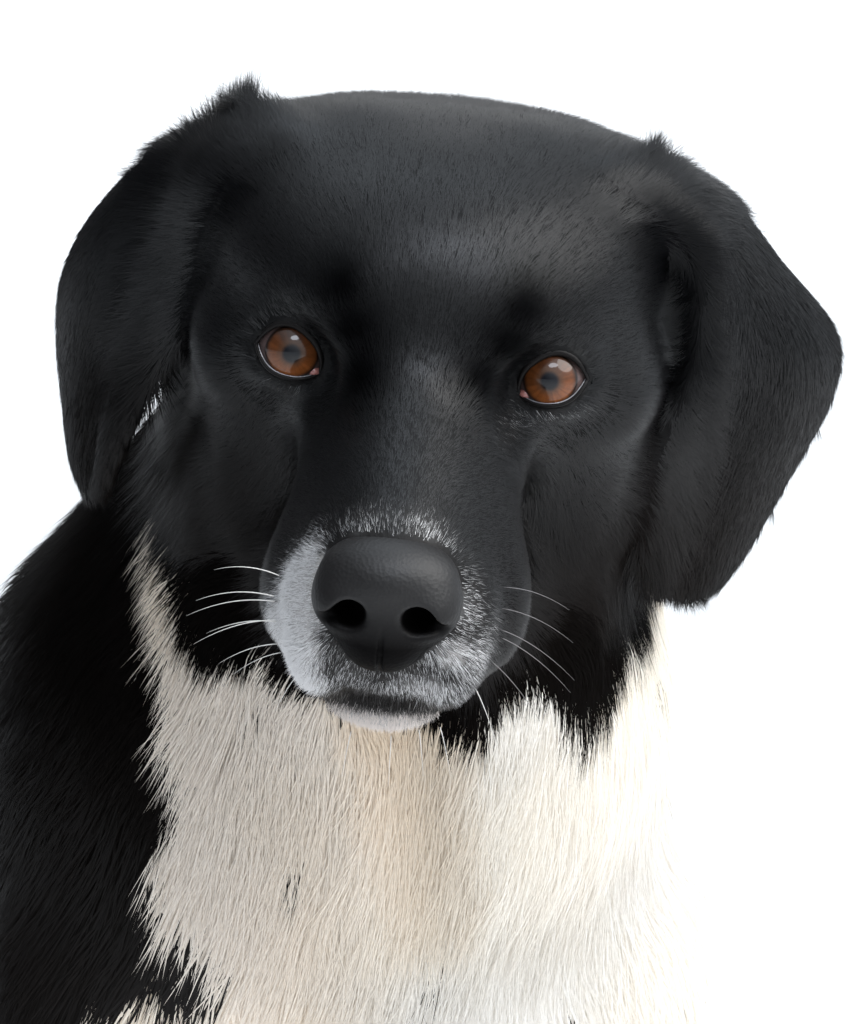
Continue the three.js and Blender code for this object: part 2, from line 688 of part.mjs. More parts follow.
// One curved claw, root inside the toe, as rings along an arc that bends down.
function clawSolid({ at, yaw }, grow) {
  const { length, root, tip, drop, rings, sides } = CLAW;
  const start = [0, -TOE.radii[1] + 4, 2];
  const [points, triangles] = [[], []];
  for (let s = 0; s <= rings; s++) {
    const t = s / rings;
    const radius = root + (tip - root) * t + grow;
    const reach = s === rings ? grow : s === 0 ? -grow : 0;
    for (let c = 0; c < sides; c++) {
      const angle = (2 * Math.PI * c) / sides;
      points.push([
        start[0] + radius * Math.cos(angle),
        start[1] - length * t - reach,
        start[2] - drop * t * t + radius * 1.25 * Math.sin(angle),
      ]);
    }
  }
  for (let s = 0; s < rings; s++) {
    for (let c = 0; c < sides; c++) {
      const [a, b] = [s * sides + c, s * sides + ((c + 1) % sides)];
      triangles.push([a, b, b + sides], [a, b + sides, a + sides]);
    }
  }
  for (let c = 1; c + 1 < sides; c++) {
    const end = rings * sides;
    triangles.push([0, c + 1, c], [end, end + c, end + c + 1]);
  }
  const place = turn(yaw, 0, 0).setPosition(...at);
  const geometry = geometryFrom(points, triangles).applyMatrix4(place);
  const solid = solidOf(geometry);
  if (solid.volume() > 0) return solid;
  const reversed = triangles.map((t) => [...t].reverse());
  return solidOf(geometryFrom(points, reversed).applyMatrix4(place));
}

// Points and triangles of a geometry, with corners closer than WELD merged.
function welded(geometry) {
  const { attributes, index } = mergeVertices(geometry, WELD);
  const points = [];
  for (let i = 0; i < attributes.position.count; i++) {
    points.push(new THREE.Vector3().fromBufferAttribute(attributes.position, i).toArray());
  }
  const triangles = [];
  for (let i = 0; i < index.count; i += 3) triangles.push([...index.array.slice(i, i + 3)]);
  return { points, triangles: triangles.filter(([a, b, c]) => a !== b && b !== c && c !== a) };
}

// Edges that more than two faces meet at, which a cut can leave where two sheets touch.
function pinchedEdges(triangles) {
  const count = new Map();
  for (const face of triangles) {
    for (let k = 0; k < 3; k++) {
      const [a, b] = [face[k], face[(k + 1) % 3]].sort((u, v) => u - v);
      const key = a + "/" + b;
      count.set(key, (count.get(key) || 0) + 1);
    }
  }
  return [...count].filter(([, n]) => n !== 2).map(([key]) => key.split("/").map(Number));
}

// Closes each pinched edge to a point and drops the faces that this folds flat.
function unpinch({ points, triangles }) {
  for (let pass = 0; pass < 20; pass++) {
    const pinched = pinchedEdges(triangles);
    if (!pinched.length) break;
    const target = points.map((_, i) => i);
    for (const [a, b] of pinched) {
      if (target[a] !== a || target[b] !== b) continue;
      points[a] = scale(add(points[a], points[b]), 0.5);
      target[b] = a;
    }
    const kept = new Map();
    for (const face of triangles) {
      const moved = face.map((v) => target[v]);
      if (new Set(moved).size < 3) continue;
      const key = [...moved].sort((u, v) => u - v).join("/");
      if (kept.has(key)) kept.delete(key);
      else kept.set(key, moved);
    }
    triangles = [...kept.values()];
  }
  return { points, triangles };
}

const cleaned = (mesh) => {
  const { points, triangles } = unpinch(mesh);
  return solidOf(geometryFrom(points, triangles));
};

function thinned(mesh, target) {
  const light = thin(mesh, target, importance);
  return cleaned(welded(geometryFrom(light.points, light.triangles)));
}

function plainGeometry(solid) {
  const geometry = geometryOf(solid);
  return geometry.deleteAttribute("normal");
}

// A copy with fewer triangles, in which a cut face stays in its own plane.
function lighten(solid, share) {
  const mesh = welded(plainGeometry(solid));
  return thinned(mesh, Math.round(share * mesh.triangles.length));
}

const faceCentre = new THREE.Vector3(0, 0, -30).applyMatrix4(HEAD);
// How much the shape matters at a place: most on the face, then the head and the front toes.
function importance([x, y, z]) {
  const toFace = Math.hypot(x - faceCentre.x, y - faceCentre.y, z - faceCentre.z);
  if (toFace < 75) return 14;
  if (toFace < 150) return 5;
  return z < 34 && y < 0 ? 3 : 1;
}

const biggest = (solid) => solid.decompose().reduce((a, b) => (a.volume() >= b.volume() ? a : b));

// ---------------------------------------------------------------- the dog
function bodySolid() {
  const axes = [
    gridLines(-190, 215, -180, 100),
    gridLines(-400, 520, -400, -150),
    gridLines(-12, 735, 530, 735),
  ];
  const mesh = surfaceNets(axes, sampleGrid(axes));
  settle(mesh.points, 2);
  return biggest(thinned(mesh, BODY_TRIANGLES));
}

const pieces = new Map();
let rest = bodySolid();
// Takes what lies in `cutter` off the rest as a piece, leaving a gap by the grown cutter.
function part(name, cutter, grown) {
  pieces.set(name, biggest(rest.intersect(cutter)));
  rest = biggest(rest.subtract(grown));
}
const partBox = (name, low, high) => part(name, boxSolid(low, high), boxSolid(low, high, GAP));

// A half space as a big box turned so that its -Z face is the cut.
function halfSpace(point, normal, back) {
  const n = new THREE.Vector3(...normal).normalize();
  const turnTo = new THREE.Quaternion().setFromUnitVectors(new THREE.Vector3(0, 0, 1), n);
  const geometry = new THREE.BoxGeometry(1600, 1600, 1600).translate(0, 0, 800 - back);
  return solidOf(geometry.applyQuaternion(turnTo).translate(...point));
}
const partPlane = (name, point, normal) => part(
  name, halfSpace(point, normal, 0), halfSpace(point, normal, GAP),
);

part("ear_left", earCutter(LEFT_EAR, 1.1, 0), earCutter(LEFT_EAR, 1.1, EAR_GAP));
part("ear_right", earCutter(RIGHT_EAR, 1.1, 0), earCutter(RIGHT_EAR, 1.1, EAR_GAP));
partPlane("head", [-12, -190, 588], [-0.1, -0.5, 0.86]);
partPlane("neck", [0, -105, 500], [0, -0.35, 0.94]);
for (const [side, name] of [[1, "left"], [-1, "right"]]) {
  const span = (near, far) => (side > 0 ? [near, far] : [-far, -near]);
  const box = (label, [x0, x1], [y0, y1], [z0, z1]) => partBox(
    label + "_" + name, [x0, y0, z0], [x1, y1, z1],
  );
  box("forepaw", span(20, 140), [-300, -90], [-10, 116]);
  box("forearm", span(42, 160), [-300, -46], [100, 262]);
  box("hind_foot", span(84, 240), [-120, 240], [-10, 60]);
  box("thigh", span(86, 240), [-80, 260], [50, 262]);
}
partBox("tail", [-200, 268, -10], [300, 700, 200]);
partPlane("chest", [0, 10, 330], [0, -0.72, 0.69]);
pieces.set("hindquarters", rest);
// everything that rests on the floor is cut flat at one level
const aboveFloor = boxSolid([-400, -600, FOOT_LEVEL], [400, 700, 900]);
for (const [name, solid] of pieces) {
  pieces.set(name, biggest(lighten(solid, KEPT_SHARE).intersect(aboveFloor)));
}

const noseGrown = eggSolid(NOSE, FIT, HEAD);
let head = pieces.get("head").subtract(noseGrown);
let nose = eggSolid(NOSE, 0, HEAD);
for (const [side, name] of [[1, "left"], [-1, "right"]]) {
  const eye = { at: [side * EYE_AT[0], EYE_AT[1], EYE_AT[2]], radii: Array(3).fill(EYE_RADIUS) };
  head = head.subtract(eggSolid(eye, FIT, HEAD)).subtract(lidOpening(side));
  pieces.set("eye_" + name, eggSolid(eye, 0, HEAD));
  const [x, y, z] = NOSTRIL.at;
  nose = nose.subtract(eggSolid({ ...NOSTRIL, at: [side * x, y, z] }, 0, HEAD, 8, 6));
  for (const [paw, pawName] of [[FRONT_PAW, "forepaw_"], [HIND_PAW, "hind_foot_"]]) {
    const middle = side > 0 ? paw : mirror(paw);
    toePlaces(middle).forEach((toe, i) => {
      pieces.set(pawName + name, biggest(pieces.get(pawName + name).subtract(clawSolid(toe, FIT))));
      pieces.set("claw_" + pawName + name + "_" + (i + 1), clawSolid(toe, 0));
    });
  }
}
pieces.set("head", biggest(head));
pieces.set("nose", biggest(nose));

// ---------------------------------------------------------------- looks
const BLACK_COAT = { color: 0x17171a, roughness: 0.62 };
const WHITE_COAT = { color: 0xe2dbcd, roughness: 0.85 };
const NOSE_LEATHER = { color: 0x141315, roughness: 0.42 };
const IRIS = { color: 0x6a3417, roughness: 0.08 };
const HORN = { color: 0x2c2723, roughness: 0.45 };
function look(name) {
  if (name.startsWith("claw")) return HORN;
  if (name.startsWith("eye")) return IRIS;
  if (name === "nose") return NOSE_LEATHER;
  if (/^(neck|chest|fore|hind_foot)/.test(name)) return WHITE_COAT;
  return BLACK_COAT;
}

const dog = new THREE.Group();
const bounds = new THREE.Box3();
for (const [name, rough] of pieces) {
  const solid = biggest(cleaned(welded(plainGeometry(rough))));
  const material = new THREE.MeshStandardMaterial({ ...look(name), metalness: 0 });
  const mesh = new THREE.Mesh(geometryOf(solid), material);
  mesh.name = name;
  bounds.expandByObject(mesh);
  dog.add(mesh);
}
const centre = bounds.getCenter(new THREE.Vector3());
dog.position.set(-centre.x, -centre.y, -bounds.min.z);

export default dog;
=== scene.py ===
"""A life-size sitting dog: one skin, a coat of thin tufts over it, eyes, nose, claws and whiskers.

The body is a blended distance field in millimetres, in the body's own frame: x to the dog's left,
y backwards, z up from the floor. Head shapes are given in the head's frame, which has its origin
between the eyes and the same axes when the dog looks straight ahead.
"""
import math

import bpy
import numpy as np
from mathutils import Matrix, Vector


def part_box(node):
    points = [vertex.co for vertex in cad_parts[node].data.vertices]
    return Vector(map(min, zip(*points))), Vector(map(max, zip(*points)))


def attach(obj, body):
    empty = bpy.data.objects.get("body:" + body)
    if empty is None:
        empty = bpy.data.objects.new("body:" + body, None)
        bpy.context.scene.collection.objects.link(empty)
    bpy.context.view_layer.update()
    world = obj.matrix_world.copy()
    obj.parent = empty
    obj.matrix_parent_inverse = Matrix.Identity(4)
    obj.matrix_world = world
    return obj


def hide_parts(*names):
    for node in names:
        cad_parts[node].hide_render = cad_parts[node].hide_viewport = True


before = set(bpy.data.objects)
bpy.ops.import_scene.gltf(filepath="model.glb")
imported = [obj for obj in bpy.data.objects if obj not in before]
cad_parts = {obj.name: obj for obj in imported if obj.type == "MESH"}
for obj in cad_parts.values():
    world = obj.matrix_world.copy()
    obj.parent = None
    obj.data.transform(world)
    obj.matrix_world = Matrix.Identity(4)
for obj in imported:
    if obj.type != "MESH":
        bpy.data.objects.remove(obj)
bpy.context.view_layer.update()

# ---- sizes, in millimetres and degrees
EYES = np.array([-50.0, -289.0, 636.0])      # the point between the eyes, in the body's frame
HEAD_YAW, HEAD_PITCH, HEAD_ROLL = -35, 18, 6
EYE_AT = np.array([38.5, 6.0, 0.0])          # the left eye's centre, in the head's frame
EYE_RADIUS = 11.5
EYE_SEAT = EYE_AT + np.array([1.0, 0.0, -1.2])   # the ball sits a little out and down in its socket
HEAD_REACH = 14                              # the head's short hair runs on that far over the neck
LID_RADIUS = 13.1
LID_WIDTH, LID_ABOVE, LID_BELOW = 21.2, 10.2, 5.0
LID_ROUND = (1.6, .1, 7.9)                   # a round part of their opening: aside, up and radius
LID_DROP = 2.8                               # the corners of the eye lie that far below its middle
LID_YAW, LID_PITCH, LID_TILT = 1, -19, -19
GAZE_BELOW, GAZE_ASIDE = 183, 64             # the eyes look that far below and beside the camera
IRIS_RADIUS = 8.0
PUPIL_RADIUS = 2.6

HEAD_STEP, BODY_STEP, NOSE_STEP = 1.6, 5.5, 0.55     # grids of the skin and of the nose pad

# depth of the coat over the skin, by part
DEPTH = dict(trunk=8, foreleg=3.5, toes=1.4, hindleg=4.5, tail=13, neck=7.5, head=1.6, ear=1.2)

NECK_GLOSS, BACK_GLOSS = 0.05, 0.5           # of the head's
# painted shade: the black coat is coloured darker on the neck, under the head, than on the back
NECK_SHADE = 0.4                          # the neck's black, as a share of the back's
BLACK = np.array([0.0042, 0.0043, 0.0050])
BROWN_BLACK = np.array([0.0068, 0.0052, 0.0045])
WHITE = np.array([0.735, 0.712, 0.678])
GREY = np.array([0.72, 0.715, 0.72])
CHIN_WARMTH = np.array([0.08, 0.16, 0.22])   # taken off the grey hair's colour under the mouth
CREAM = np.array([0.01, 0.04, 0.10])         # taken off the white here and there
# painted shade: the white is coloured tan-darker along the crease of the chest
CREASE_SHADE_TAN = np.array([0.10, 0.20, 0.32])    # and in the crease of the chest
# painted light: the white is coloured warmer on the dog's right, where it lies in shade under the head and
# light glows through the fur
RIGHT_WARM_LIGHT = np.array([0.09, 0.02, -0.05])     # added to the white on the dog's right
PALE = 0.3                                   # hair with more red than that counts as white

SIDES = ((1, "left"), (-1, "right"))

CAMERA_AZIMUTH, CAMERA_ELEVATION = -30, 10
CAMERA_DISTANCE = 1.35                       # metres from the point between the eyes
PHOTO_SIZE = (866, 1024)
EYES_IN_PHOTO = (421, 367)                   # pixels across and down
PHOTO_SCALE = 3300                           # pixels for each metre at the eyes
SENSOR = 36                                  # millimetres, the larger side


def turn(yaw, pitch, roll):
    """Rotation: roll about y first, then pitch about x, then yaw about z, in degrees."""
    a, b, c = (math.radians(angle) for angle in (yaw, pitch, roll))
    rz = np.array([[math.cos(a), -math.sin(a), 0], [math.sin(a), math.cos(a), 0], [0, 0, 1]])
    rx = np.array([[1, 0, 0], [0, math.cos(b), -math.sin(b)], [0, math.sin(b), math.cos(b)]])
    ry = np.array([[math.cos(c), 0, math.sin(c)], [0, 1, 0], [-math.sin(c), 0, math.cos(c)]])
    return rz @ rx @ ry


HEAD = turn(HEAD_YAW, HEAD_PITCH, HEAD_ROLL)


def to_head(p):
    """Points of the body's frame in the head's frame."""
    return (p - EYES.astype(p.dtype)) @ HEAD.astype(p.dtype)


def from_head(q):
    return np.asarray(q, float) @ HEAD.T + EYES


eye_low, eye_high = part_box("eye_left")
SHIFT = np.array((eye_low + eye_high) / 2) * 1000 - from_head(EYE_AT)


def placed(p):
    """Points of the body's frame in metres in the model's frame."""
    return (np.asarray(p, float) + SHIFT) / 1000


def unit(v):
    return v / np.maximum(np.linalg.norm(v, axis=-1, keepdims=True), 1e-9)


# ---- objects and camera
def new_object(name, data, place=(0, 0, 0), facing=None):
    """An object of the scene, turned by the quaternion facing if there is one."""
    thing = bpy.data.objects.new(name, data)
    bpy.context.scene.collection.objects.link(thing)
    thing.location = place
    if facing is not None:
        thing.rotation_mode = "QUATERNION"
        thing.rotation_quaternion = facing
    return thing


def make_camera():
    """The photo's camera, moved aside so that the eyes fall where they are in the photo."""
    data = bpy.data.cameras.new("camera")
    data.sensor_width = SENSOR
    data.lens = PHOTO_SCALE * CAMERA_DISTANCE / max(PHOTO_SIZE) * SENSOR
    data.clip_start, data.clip_end = 0.05, 100
    azimuth, elevation = math.radians(CAMERA_AZIMUTH), math.radians(CAMERA_ELEVATION)
    back = Vector((math.sin(azimuth) * math.cos(elevation),
                   -math.cos(azimuth) * math.cos(elevation), math.sin(elevation)))
    facing = (-back).to_track_quat("-Z", "Y")
    across, down = ((PHOTO_SIZE[i] / 2 - EYES_IN_PHOTO[i]) / PHOTO_SCALE for i in (0, 1))
    place = Vector(placed(EYES)) + back * CAMERA_DISTANCE
    place += facing @ Vector((across, -down, 0))
    bpy.context.scene.camera = new_object("camera", data, place, facing)
    return place


CAMERA_POINT = np.array(make_camera()) * 1000 - SHIFT    # the camera in the body's frame


# ---- distance field
def blend_union(a, b, k):
    """The nearer of two distances, with a soft join k wide."""
    h = np.clip(0.5 + 0.5 * (b - a) / k, 0, 1)
    return b + (a - b) * h - k * h * (1 - h)


def blend_cut(a, b, k):
    """a without b."""
    return -blend_union(-a, b, k)


def mirrored(point, side):
    return (point[0] * side, *point[1:])


def sides_of(both):
    return (1, -1) if both else (1,)


def cone(start, end, start_radius, end_radius, flat=1.0, blend=20, both=False):
    """A rod with round ends, narrowed along x by flat. Returns a list of (distance, blend)."""
    def shape(side):
        a = np.array(mirrored(start, side), np.float32)
        b = np.array(mirrored(end, side), np.float32)
        squeeze = np.array([1 / flat, 1, 1], np.float32)
        axis = (b - a) * squeeze

        def distance(p):
            v = (p - a) * squeeze
            h = np.clip(v @ axis / float(axis @ axis), 0, 1)
            reach = np.sqrt(((v - h[:, None] * axis) ** 2).sum(1))
            return (reach - start_radius - (end_radius - start_radius) * h) * min(1.0, flat)
        return distance, blend
    return [shape(side) for side in sides_of(both)]


def egg(centre, radii, blend=20, turned=(0, 0, 0), both=False):
    """An ellipsoid. Returns a list of (distance, blend)."""
    def shape(side):
        c = np.array(mirrored(centre, side), np.float32)
        r = np.array(radii, np.float32)
        axes = turn(side * turned[0], turned[1], side * turned[2]).astype(np.float32)

        def distance(p):
            v = (p - c) @ axes if any(turned) else p - c
            k0 = np.sqrt(((v / r) ** 2).sum(1))
            k1 = np.sqrt(((v / (r * r)) ** 2).sum(1)) + 1e-6
            return k0 * (k0 - 1) / k1
        return distance, blend
    return [shape(side) for side in sides_of(both)]


def union(shapes, p, start=None):
    """Distance from shapes joined one by one, onto start if there is one."""
    f = start
    for distance, blend in shapes:
        f = distance(p) if f is None else blend_union(f, distance(p), blend)
    return f


def cut(shapes, p, start):
    """The distance start with shapes cut out of it."""
    f = start
    for distance, blend in shapes:
        f = blend_cut(f, distance(p), blend)
    return f


TRUNK = (
    cone((0, -92, 432), (0, -15, 372), 114, 120, .88)
    + egg((0, -158, 418), (88, 66, 96), 30)
    + cone((0, -15, 372), (0, 62, 292), 120, 113, .88)
    + cone((0, 62, 292), (0, 132, 205), 113, 102, .9)
    + cone((0, 132, 205), (0, 185, 122), 102, 96, .97)
    + egg((0, 200, 80), (90, 66, 84))
    + cone((0, -55, 496), (0, 60, 412), 44, 52, .9, 50)
    + cone((52, -62, 508), (86, -158, 405), 38, 50, 1, 34, both=True)
    + egg((55, -140, 480), (58, 64, 80), 44, both=True)
    + egg((0, 85, 165), (80, 88, 85), 30)
)
FORELEG = (
    cone((86, -158, 395), (86, -88, 300), 46, 38, .8, 24, both=True)
    + cone((84, -92, 300), (72, -140, 135), 37, 25, .88, 16, both=True)
    + cone((72, -140, 135), (70, -142, 112), 26, 26, 1, 8, both=True)
    + cone((70, -142, 112), (68, -166, 40), 25, 26, 1, 10, both=True)
    + egg((68, -178, 24), (30, 38, 25), 10, both=True)
)
HINDLEG = (
    cone((64, 168, 140), (108, 36, 190), 94, 54, .64, 30, both=True)
    + cone((112, 32, 184), (124, 150, 54), 46, 28, .8, 20, both=True)
    + cone((124, 168, 50), (124, 158, 32), 24, 27, 1, 8, both=True)
    + cone((124, 158, 26), (126, 30, 25), 26.6, 25.6, 1, 10, both=True)
    + egg((127, 2, 24), (31, 38, 25), 10, both=True)
)
TAIL = (
    cone((0, 248, 112), (6, 300, 60), 36, 38, 1, 24)
    + cone((6, 300, 60), (30, 380, 38), 38, 39, 1, 16)
    + cone((30, 380, 38), (90, 448, 32), 39, 33, 1, 16)
    + cone((90, 448, 32), (160, 476, 15.5), 33, 16, 1, 16)
)
NECK = (
    cone((5, -96, 455), (6, -149, 522), 115, 104, .95, 40)
    + cone((6, -149, 522), (-3, -188, 584), 104, 82)
    + cone((0, -180, 508), (-16, -214, 552), 92, 76, 1, 25)
)
SKULL = (
    egg((0, 60, -3), (70, 76, 56))
    + egg((33, 62, 15), (36, 58, 37), 14, both=True)
    + egg((0, 30, 14), (48, 42, 34), 16)
    + egg((20, 8, 14), (18, 18, 15), 12, both=True)
    + egg((50, 44, -14), (23, 40, 22), 14, (10, 0, 0), both=True)
    + egg((43, 54, -46), (31, 42, 44), 18, both=True)
    + egg((52, 88, -26), (35, 36, 60), 18, both=True)
    + egg((0, 95, -24), (62, 50, 58), 25)
    + cone((0, 6, -12), (0, -72, -29), 25, 20, 1, 16)
    + cone((14, -2, -28), (12, -66, -41), 21, 19, 1, 12, both=True)
    + egg((17, -60, -55), (15.5, 27, 24), 9, (5, 0, 0), both=True)
    + egg((25, -28, -57), (16, 34, 22), 14, (9, 0, 0), both=True)
    + cone((0, -50, -70), (0, 24, -68), 16, 36, 1, 10)
    + egg((0, -63, -77), (19, 15, 12), 8)
    + egg((0, -71, -60), (19, 15, 11), 8)
    + egg((0, -80, -38), (20, 15, 19), 6)
    + egg((54, 66, 20), (19, 27, 28), 12, both=True)
    + egg((64, 84, -14), (18, 26, 38), 16, both=True)
)
EYE_HOLLOW = egg((40, -9, 0), (14, 14, 12), 8, both=True)
LIDS = egg(tuple(EYE_SEAT), (LID_RADIUS,) * 3, 6, both=True)
MOUTH = (
    cone((0, -87, -67.6), (15.6, -77, -77.2), 2.2, 1.2, 1, 1, both=True)
    + egg((0, -84, -73), (9.5, 7, 2.6), 1.2)
    + cone((15.6, -77, -77.2), (25, -50, -79), 1.2, 1.5, 1, 1, both=True)
    + cone((25, -50, -79), (31, -20, -76), 1.5, 1.5, 1, 1, both=True)
    + cone((31, -20, -76), (34, 5, -66), 1.5, 1.0, 1, 1, both=True)
)
LIP_CLEFT = cone((0, -93, -50), (0, -84, -68), .8, 1.4, 1, 1.6)
CHEEK_CREASE = cone((72, 22, -48), (48, -4, -92), 2.5, 2.5, 1, 12, both=True)
CHEST_CREASE = cone((-50, -276, 524), (-20, -254, 440), 14, 9, 1, 16)

NOSE = (
    egg((0, -85, -32), (19.5, 14, 16))
    + egg((0, -83, -24.5), (18.5, 13, 8.5), 7)
    + egg((12, -87, -33), (9.5, 12, 9.5), 5, both=True)
    + egg((3.2, -88, -42.5), (9.6, 10.5, 11.2), 6, both=True)
)
NOSTRILS = (
    egg((9.7, -98, -32.6), (4.5, 12, 4.4), 2.2, (-12, 0, 14), both=True)
    + cone((11.5, -99, -33.4), (17.2, -95, -36), 2.7, 1.4, 1, 3, both=True)
)
PHILTRUM = (
    cone((0, -100.2, -33), (0, -99.7, -44), .5, .9, 1, .6)
    + cone((0, -99.7, -44), (0, -97, -50), .9, .9, 1, .6)
    + cone((0, -97, -50), (0, -92, -55), .9, 1.0, 1, .6)
)

# an ear is a flap: rows of (front edge, back edge, bulge, half thickness) from its base to its tip
LEFT_EAR = [
    ((52, 49, 42), (70, 84, 32), 0, 9), ((69, 46, 36), (85, 91, 24), 3, 7),
    ((81, 44, 22), (102, 97, 3), 5, 6.5), ((84, 42, 0), (126, 98, -21), 6, 5),
    ((81, 41, -25), (128, 96, -42), 6, 4.6), ((73, 40, -50), (118, 90, -69), 6, 4.4),
    ((74, 42, -74), (107, 82, -94), 5, 4.2), ((80, 45, -93), (100, 72, -103), 2, 4),
]
RIGHT_EAR = [
    ((-47, 49, 41), (-66, 84, 33), 0, 11), ((-65, 47, 33), (-91, 95, 16), 3, 8.7),
    ((-71, 48, 15), (-112, 102, -9), 5, 6.5), ((-77, 49, -8), (-123, 106, -34), 6, 5),
    ((-83, 49, -28), (-124, 106, -58), 6, 4.6), ((-91, 44, -49), (-120, 101, -78), 6, 4.4),
    ((-96, 45, -67), (-115, 90, -90), 5, 4.2), ((-100, 49, -81), (-110, 75, -93), 2, 4),
]
# a soft crease runs down each ear: where it lies from front (-1) to back (1), its width and depth
LEFT_FOLD = (-.45, .35, .45)
RIGHT_FOLD = (-.30, .26, .9)
EAR_BLEND = 11


def ear_rows(ear):
    """For each row its middle, half width, bulge vector and half thickness."""
    front, back = (np.array([row[i] for row in ear], float) for i in (0, 1))
    middle, half = (front + back) / 2, (back - front) / 2
    ahead = np.vstack([middle[1:], middle[-1:]]) - np.vstack([middle[:1], middle[:-1]])
    out = unit(np.cross(half, ahead))
    out[out[:, 0] * middle[:, 0] < 0] *= -1
    bulge, thick = (np.array([row[i] for row in ear], float)[:, None] for i in (2, 3))
    return np.hstack([middle, half, out * bulge, thick]).astype(np.float32)


def along_rows(rows, u):
    """A smooth curve through the rows at u, and its derivative."""
    last = len(rows) - 1
    i = np.clip(np.floor(u).astype(int), 0, last - 1)
    t = (u - i)[:, None].astype(np.float32)
    p0, p1, p2, p3 = (rows[np.clip(i + k, 0, last)] for k in (-1, 0, 1, 2))
    a, b, c = p2 - p0, 2 * p0 - 5 * p1 + 4 * p2 - p3, 3 * p1 - p0 - 3 * p2 + p3
    return .5 * (2 * p1 + a * t + b * t * t + c * t ** 3), .5 * (a + 2 * b * t + 3 * c * t * t)


def flap_point(ear, u, v):
    """A point of the ear's middle surface, how it changes along u and v, and the thickness there."""
    rows, (fold_at, fold_width, fold_depth) = ear
    v = v[:, None]
    row, slope = along_rows(rows, u)
    fold = fold_depth * np.exp(-((v - fold_at) / fold_width) ** 2)
    rise = 1 - v * v - fold
    tilt = 2 * (v - fold_at) / fold_width ** 2 * fold - 2 * v
    at = row[:, :3] + v * row[:, 3:6] + rise * row[:, 6:9]
    along = slope[:, :3] + v * slope[:, 3:6] + rise * slope[:, 6:9]
    return at, along, row[:, 3:6] + tilt * row[:, 6:9], row[:, 9]


def flap_distance(ear, p):
    """Distance from the flap's surface, by way of the nearest point of its middle surface."""
    rows = ear[0]
    best = np.full(len(p), 1e12, np.float32)
    u, v = np.zeros(len(p), np.float32), np.zeros(len(p), np.float32)
    for step in range(2 * len(rows) - 1):
        for seed in (-.85, -.3, .3, .85):
            at = flap_point(ear, np.array([step / 2]), np.array([seed], np.float32))[0]
            d = ((p - at) ** 2).sum(1)
            closer = d < best
            best[closer], u[closer], v[closer] = d[closer], step / 2, seed
    for _ in range(5):
        at, along, across, _ = flap_point(ear, u, v)
        rest = p - at
        a, b, c = ((x * y).sum(1) for x, y in ((along, along), (along, across), (across, across)))
        e, f = (rest * along).sum(1), (rest * across).sum(1)
        det = a * c - b * b + 1e-3
        u = np.clip(u + np.clip((e * c - f * b) / det, -.7, .7), 0, len(rows) - 1.001)
        v = np.clip(v + np.clip((a * f - b * e) / det, -.7, .7), -1, 1)
        u, v = u.astype(np.float32), v.astype(np.float32)
    at, _, _, thick = flap_point(ear, u, v)
    return np.sqrt(((p - at) ** 2).sum(1)) - thick * (1 - .25 * v * v)


EARS = [(ear_rows(LEFT_EAR), LEFT_FOLD), (ear_rows(RIGHT_EAR), RIGHT_FOLD)]


def ear_distance(ear, p):
    """The same, with a plain lower value for points well away from the ear."""
    rows, reach = ear[0], 30
    low = (rows[:, :3] - np.abs(rows[:, 3:6])).min(0) - reach
    high = (rows[:, :3] + np.abs(rows[:, 3:6])).max(0) + reach
    gap = np.sqrt((np.maximum(np.maximum(low - p, p - high), 0) ** 2).sum(1))
    found = (gap + reach * .66).astype(np.float32)
    within = np.nonzero(gap <= 0)[0]
    if len(within):
        found[within] = flap_distance(ear, p[within])
    return found


PAWS = {"forepaw": (68, -193, 13.2), "hind_foot": (127, -13, 13.2)}      # the middle of each left paw's toes
# each toe: how far aside and back from there, and its share of the spread in degrees
TOE_FAN = [(-22, 4, 1), (-8, -8, .3), (8, -8, -.3), (22, 4, -1)]
TOE_SPREAD = 8
TOE_RADII = (10.5, 19, 14)
TOES = [shape for x, y, z in PAWS.values() for aside, back, spread in TOE_FAN
        for shape in egg((x + aside, y + back, z), TOE_RADII, 5, (-TOE_SPREAD * spread, 0, 0), both=True)]


def lid_axes(side):
    """Axes of an eye's lids: across, back and up."""
    return turn(side * LID_YAW, LID_PITCH, side * LID_TILT)


def lid_outline(x, z, side):
    """Distance from the edge of the lids' opening, seen along the eye: an almond, rounder outside."""
    half = LID_WIDTH / 2
    top, low = ((half ** 2 + h ** 2) / (2 * h) for h in (LID_ABOVE, LID_BELOW))
    above = np.sqrt(x * x + (z + LID_DROP - (LID_ABOVE - top)) ** 2) - top
    below = np.sqrt(x * x + (z + LID_DROP + (LID_BELOW - low)) ** 2) - low
    across, up, radius = LID_ROUND
    ball = np.sqrt((x - side * across) ** 2 + (z - up) ** 2) - radius
    return blend_union(np.maximum(above, below), ball, 1.0)


def lid_opening(q, side):
    """The opening between the lids, as a prism in front of the eye's middle."""
    centre = (EYE_SEAT * (side, 1, 1)).astype(np.float32)
    v = (q - centre) @ lid_axes(side).astype(np.float32)
    return np.maximum(lid_outline(v[:, 0], v[:, 2], side), v[:, 1] + 2)


BODY_SHAPES = dict(trunk=TRUNK, foreleg=FORELEG, hindleg=HINDLEG, toes=TOES, tail=TAIL, neck=NECK)


def part_distances(p):
    """Distance from the skin of each part of the body, with the coat's depth taken off."""
    q = to_head(p)
    part = {name: union(shapes, p) + DEPTH[name] for name, shapes in BODY_SHAPES.items()}
    part["head"] = cut(EYE_HOLLOW, q, union(SKULL, q)) + DEPTH["head"]
    for name, ear in zip(("ear_left", "ear_right"), EARS):
        part[name] = ear_distance(ear, q) + DEPTH["ear"]
    return part


